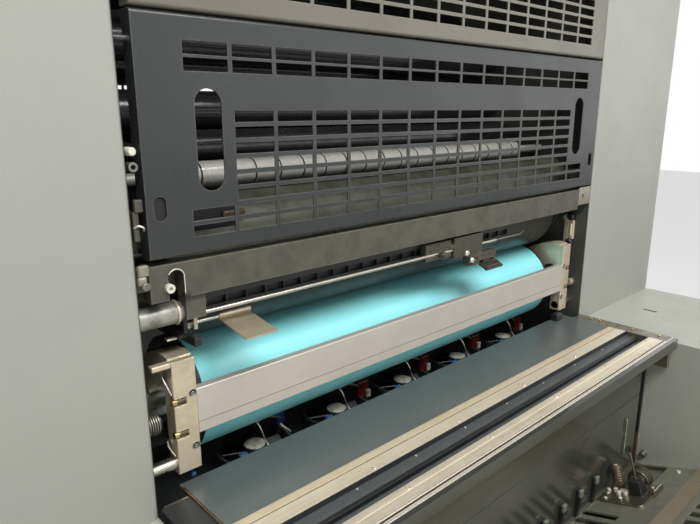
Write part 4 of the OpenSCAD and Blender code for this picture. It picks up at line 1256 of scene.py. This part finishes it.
@dataclass
class FaceTrim(Trim):
    """Small fittings between the guard and the housings and round the beam."""

    strip_first: float = -507.0
    strip_pitch: float = 35.25
    strip_count: int = 23
    rib_half: float = 1.1
    band_count: int = 18
    band_pitch: float = 52.0
    chrome_axis: tuple[float, float] = (160.0, 90.0)
    notch: Place = (-565.0, 2.4, -28.0)
    notch_r: float = 11.9
    wheel: Place = (-619, 36, -245)
    tooth_count: int = 7
    tooth_pitch: float = 3.4
    pad: Place = (145, 25, -126)
    pad_slope: float = -27.0
    flap_hinge: Place = (-482.0, 44.0, -113.0)
    flap_slope: float = -9.3

    def build(self) -> None:
        """Make the fittings from left to right."""
        self.strip()
        self.left_gap()
        self.left_end()
        self.clamp()
        self.flap()
        self.chrome_groove_shade()
        self.right_end()

    def strip(self) -> None:
        """Make the light dividers of the strip and the far stretch of the rod."""
        places = self.strip_first + np.arange(self.strip_count) * self.strip_pitch
        half = self.rib_half
        ribs = [rounded_bar(Z, (x - half, 32.6, -88.5), (x + half, 34.6, -75), 0.6, 0.3) for x in places]
        self.piece("blower_strip_ribs", Finish.STEEL, "bright_steel", *ribs)
        rod = np.array([(199, 14, -89.4), (250, 14.6, -89.8), (300, 15.2, -90.4), (345, 34.2, -91)])
        self.piece("far_rod", Finish.DULL_STEEL, "bright_steel", tube(rod, 1.8, 8))

    def left_gap(self) -> None:
        """Make the fittings beside the guard's left end, and the two near-black plates behind its left slot
        that paint the shade there.
        """
        bumper = turned(Y, [(14, 5.6), (-2, 5.6), (-4, 4.4), (-4, 0.5)], (-610, 6, 141), 20)
        self.piece("left_bumper", Finish.IVORY, "white_plastic", bumper)
        ring = turned(Y, [(12, 3.2), (-2, 3.2), (-2, 6.0), (12, 6.0)], (-610.5, 4, 122), 24)
        self.piece("left_grey_ring", Finish.DULL_STEEL, "bright_steel", ring, looped=True)
        bracket = (
            rounded_bar(Z, (-615, -2, 66), (-604, 6, 82), 2, 1),
            rounded_bar(Z, (-617, 2, 28), (-609, 18, 66), 2, 1),
        )
        self.piece("left_bracket", Finish.CLAMP, "bright_steel", *bracket)
        hook = tube(spline([(-616, 4, 46), (-612, -1, 49), (-606, -2, 46), (-603, 4, 41)], 20), 1.4)
        self.piece("left_hook", Finish.WHITE_STEEL, "bright_steel", hook)
        # Painted shade: the latch plate and the sheet behind the left slot are near-black to stand in for the
        # shade there.
        latch = rounded_bar(Z, (-592, 3, 46), (-569, 5, 88), 1, 0.5)
        self.piece("guard_latch_plate", Finish.DEEP_BLACK, "black_steel", latch, body="swing_guard")
        plate = rounded_bar(X, (-585, 45, 4), (-436, 50, 58), 2, 1)
        self.piece("left_slot_shadow_sheet", Finish.DEEP_BLACK, "black_steel", plate)
        block = rounded_bar(X, (-466, 39, 33), (-428, 45.4, 47), 2, 1)
        self.piece("shell_end_block", Finish.BRONZE, "dark_bronze", block)

    def left_end(self) -> None:
        """Make the beam's left fitting, the notch's rim, the pipe's rim and the toothed wheel."""
        end = (
            rounded_bar(Z, (-618, -3, -18), (-603.4, 6, -3), 3, 1.5),
            rounded_bar(X, (-619, -4, -30), (-608, 5, -17), 4, 1.5),
        )
        self.piece("beam_left_fitting", Finish.END_PLATE, "beam_cast", *end)
        bolt = turned(Y, [(2, 5.5), (-4, 5.5), (-5, 4.6), (-5, 0.6)], (-611, -3, -30), 20)
        self.piece("beam_left_bolt", Finish.DULL_STEEL, "bright_steel", bolt)
        x, y, z = self.notch
        turn = np.radians(np.linspace(-8, 150, 22))
        rise = self.notch_r * np.stack([np.cos(turn), np.zeros(22), np.sin(turn)], 1)
        side = x + self.notch_r
        rim = np.concatenate([[(side, y, -57), (side, y, -44)], rise + (x, y, z)])
        self.piece("beam_notch_rim", Finish.WHITE_STEEL, "beam_cast", tube(rim, 0.9, 8, (0, 1, 0.02)))
        foot = rounded_bar(X, (-556, -1, -57), (-547, 8, -52), 1.2, 0.6)
        self.piece("beam_notch_foot", Finish.BLACK, "black_plastic", foot)
        rows = [(0, 14), (0, 17.4), (1.2, 18.2), (3.4, 18.2), (4.4, 17.2), (4.4, 14)]
        collar = turned(X, rows, (-560.4, 30, -85), 40)
        self.piece("pipe_bright_rim", Finish.ARM, "pipe_steel", collar, looped=True)
        teeth = [
            turned(X, [(x, 12.0), (x, 16.5), (x + 1.6, 16.5), (x + 1.6, 12.0)], self.wheel, 28)
            for x in np.arange(self.tooth_count) * self.tooth_pitch
        ]
        self.piece("left_toothed_wheel", Finish.DULL_STEEL, "black_steel", *teeth, looped=True)
        hub = turned(X, [(-1, 12.2), (26, 12.2), (27, 11), (27, 1)], self.wheel, 28)
        self.piece("left_wheel_hub", Finish.BLACK, "black_steel", hub)
        tab = rounded_bar(X, (-566, 44, -132), (-551, 56, -128.5), 1.2, 0.6)
        self.piece("left_light_tab", Finish.WHITE_STEEL, "bright_steel", tab)

    def clamp(self) -> None:
        """Make the bright screws of the clamp over the blanket, and the bands on its pad."""
        head = [(0, 5.4), (-3, 5.4), (-4, 4.6), (-4, 0.6)]
        screws = (turned(Y, head, place, 22) for place in ((63, -10, -93), (81, -10, -111)))
        self.piece("clamp_bright_screws", Finish.WHITE_STEEL, "bright_steel", *screws)
        for name, finish, slot, bands in (
            ("clamp_pad_bands", Finish.BRONZE, "dark_bronze", ((-31, -23), (-16, -9))),
            ("clamp_pad_grooves", Finish.BLACK, "black_plastic", ((-22.6, -16.4), (-36.4, -31.4))),
        ):
            bars = (rounded_bar(X, (1, low, -0.6), (57, high, 0.9), 0.6, 0.4) for low, high in bands)
            self.piece(name, finish, slot, *(hinged(bar, self.pad_slope, self.pad) for bar in bars))

    def chrome_groove_shade(self) -> None:
        """Make the dark rings that paint the shade in the grooves of the chrome roller."""
        rows = [(-1.4, 18.8), (-1.4, 21.25), (1.4, 21.25), (1.4, 18.8)]
        places = (np.arange(self.band_count) - (self.band_count - 1) / 2) * self.band_pitch
        # Painted shade: dark rings stand in for the shade in the roller's grooves.
        bands = (turned(X, rows, (x, *self.chrome_axis), 36) for x in places)
        body = "chrome_roll"
        self.piece("chrome_groove_shade_rings", Finish.RUBBER, "ink_rubber", *bands, body=body, looped=True)

    def flap(self) -> None:
        """Make the flat plate that hangs on the short rod over the blanket."""
        sheet = rounded_bar(X, (0, -78, -5), (56, 0, -3), 0.8, 0.4)
        sleeve = turned(X, [(0, 5), (56, 5)], (0, 0, 0), 24)
        hung = (hinged(part, self.flap_slope, self.flap_hinge) for part in (sheet, sleeve))
        made = self.piece("lifter_flap", Finish.BEIGE, "plate_aluminium", *hung)
        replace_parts(made, "lifter_plate")

    def right_end(self) -> None:
        """Make the beam's end plate, the link's knobs and the joint under the right arm."""
        plate = rounded_bar(X, (545.6, 1.6, -48), (604, 4.4, -3), 1.5, 0.8)
        self.piece("beam_end_plate", Finish.END_PLATE, "beam_cast", plate)
        keyhole = (
            turned(Y, [(0.6, 0.6), (0.6, 3.6), (-0.6, 3.4), (-0.6, 0.6)], (566, 1.4, -24), 20),
            rounded_bar(Z, (564.6, 0.9, -34), (567.4, 2.2, -24), 0.6, 0.3),
        )
        self.piece("beam_end_keyhole", Finish.BLACK, "black_plastic", *keyhole)
        link = (
            rounded_bar(Z, (598, 35, -150), (606.5, 52, -98), 3, 2),
            rounded_bar(Z, (595, 40, -140), (600, 47, -108), 2, 1),
        )
        self.piece("link_cover", Finish.ARM, "arm_nickel", *link)
        rows = [(14, 10), (-2, 10), (-5, 7), (-5, 1)]
        knobs = (turned(X, rows, (594, 44, z), 20) for z in (-88, -158))
        self.piece("link_black_knobs", Finish.BLACK, "black_plastic", *knobs)
        joint = (
            turned(X, [(0, 13), (14, 13), (16, 11), (16, 1)], (574, 62, -318), 28),
            rounded_bar(Z, (575, 40, -350), (590, 58, -322), 3, 1.5),
        )
        self.piece("right_arm_joint", Finish.STEEL, "bright_steel", *joint)
        foot = rounded_bar(X, (506, 12, -357), (534, 30, -338), 3, 1.5)
        self.piece("right_black_bracket", Finish.BLACK, "black_plastic", foot)


@dataclass(frozen=True)
class Lamp:
    """Soft rectangular lamp: its middle, its aim and its size in metres, and its power in watts."""

    name: str
    place: Place
    aim: Place
    size: tuple[float, float]
    power: float

    def build(self) -> None:
        """Make the lamp. Its back axis runs from its aim to its middle, and its side is level."""
        data = bpy.data.lights.new(self.name, "AREA")
        data.shape = "RECTANGLE"
        data.size, data.size_y, data.energy = *self.size, self.power
        made = bpy.data.objects.new(self.name, data)
        back = np.subtract(self.place, self.aim)
        back = back / np.linalg.norm(back)
        side = np.cross([0.0, 0.0, 1.0], back)
        side = side / np.linalg.norm(side)
        turn = Matrix(np.stack([side, np.cross(back, side), back], 1).tolist()).to_4x4()
        made.matrix_world = Matrix.Translation(self.place) @ turn
        bpy.context.scene.collection.objects.link(made)


@dataclass
class Studio:
    """Camera, floor, backdrop and light."""

    lens: float = 30.80
    sensor: float = 36.0
    clip: tuple[float, float] = (0.02, 60.0)
    spot: Place = (-0.9166, -0.88705, 1.3586)
    yaw: float = 42.4879
    pitch: float = 14.1454
    roll: float = 0.1839
    floor_half: float = 14.0
    floor_tone: Tone = (236, 236, 233)
    room: float = 0.16
    shown: float = 1.0
    lamps: tuple[Lamp, ...] = (
        Lamp("ceiling_front", (-0.3, -2.1, 3.6), (0.0, -0.1, 0.9), (3.4, 0.8), 136),
        Lamp("front_fill", (-1.2, -3.4, 0.7), (0.0, 0.0, 0.9), (2.0, 0.8), 16),
        Lamp("right_glow", (2.7, -2.8, 1.6), (0.2, 0.0, 1.2), (3.2, 1.4), 9),
        Lamp("rear_fill", (0.9, 3.6, 2.4), (0.0, 0.3, 1.0), (2.6, 1.2), 70),
    )

    def camera(self) -> None:
        """Make the camera at the photograph's viewing place.

        Its axes are the level right and forward directions, turned by the yaw, dropped
        by the pitch and rolled.
        """
        yaw, pitch, roll = (math.radians(a) for a in (self.yaw, self.pitch, self.roll))
        ahead = np.array([math.sin(yaw), math.cos(yaw), 0.0])
        forward = ahead * math.cos(pitch) - (0.0, 0.0, math.sin(pitch))
        level = np.array([math.cos(yaw), -math.sin(yaw), 0.0])
        down = np.cross(forward, level)
        right = math.cos(roll) * level + math.sin(roll) * down
        dropped = math.cos(roll) * down - math.sin(roll) * level
        turn = Matrix(np.stack([right, -dropped, -forward], 1).tolist()).to_4x4()
        data = bpy.data.cameras.new("photo_camera")
        data.lens, data.sensor_width = self.lens, self.sensor
        data.clip_start, data.clip_end = self.clip
        made = bpy.data.objects.new("photo_camera", data)
        made.matrix_world = Matrix.Translation(self.spot) @ turn
        bpy.context.scene.collection.objects.link(made)
        bpy.context.scene.camera = made

    def floor(self) -> None:
        """Make the plain pale floor under the feet."""
        half = self.floor_half
        corners = [(-half, -half, 0), (half, -half, 0), (half, half, 0), (-half, half, 0)]
        mesh = bpy.data.meshes.new("studio_floor")
        mesh.from_pydata(corners, [], [(0, 1, 2, 3)])
        mesh.materials.append(StageFinish("studio_floor", self.floor_tone).build())
        made = bpy.data.objects.new("studio_floor", mesh)
        bpy.context.scene.collection.objects.link(made)

    def sky(self) -> None:
        """Set the even light of the room, and the white that the camera, mirrors and glass see."""
        world = bpy.data.worlds.new("studio_room")
        bpy.context.scene.world = world
        world.use_nodes = True
        sheet = NodeSheet(world.node_tree)
        camera, mirror, glass = (
            sheet.node("ShaderNodeLightPath", output=f"Is {ray} Ray")
            for ray in ("Camera", "Glossy", "Transmission")
        )
        plain, white = (
            sheet.node("ShaderNodeBackground", None, {"Color": WHITE, "Strength": level})
            for level in (self.room, self.shown)
        )
        seen = camera.most(mirror).most(glass)
        blend = sheet.node("ShaderNodeMixShader", None, {0: seen, 1: plain, 2: white})
        sheet.show(blend, "World Output")

    def build(self) -> None:
        """Make the whole studio."""
        self.camera()
        self.floor()
        self.sky()
        for lamp in self.lamps:
            lamp.build()
        bpy.context.scene.view_settings.view_transform = "Standard"


def main() -> None:
    """Load the press, dress it, add its small pieces and set the studio."""
    logging.basicConfig(level=logging.INFO, format="%(name)s: %(message)s")
    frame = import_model()
    datum = PressDatum.from_frame()
    rack = FinishRack()
    Studio().build()
    Dresser(rack, frame["nodes"]).dress()
    for trim in (NipGuardTrim, FanTrim, TrayTrim, BedTrim, FaceTrim):
        trim(datum, rack).build()


if __name__ == "__main__":
    main()
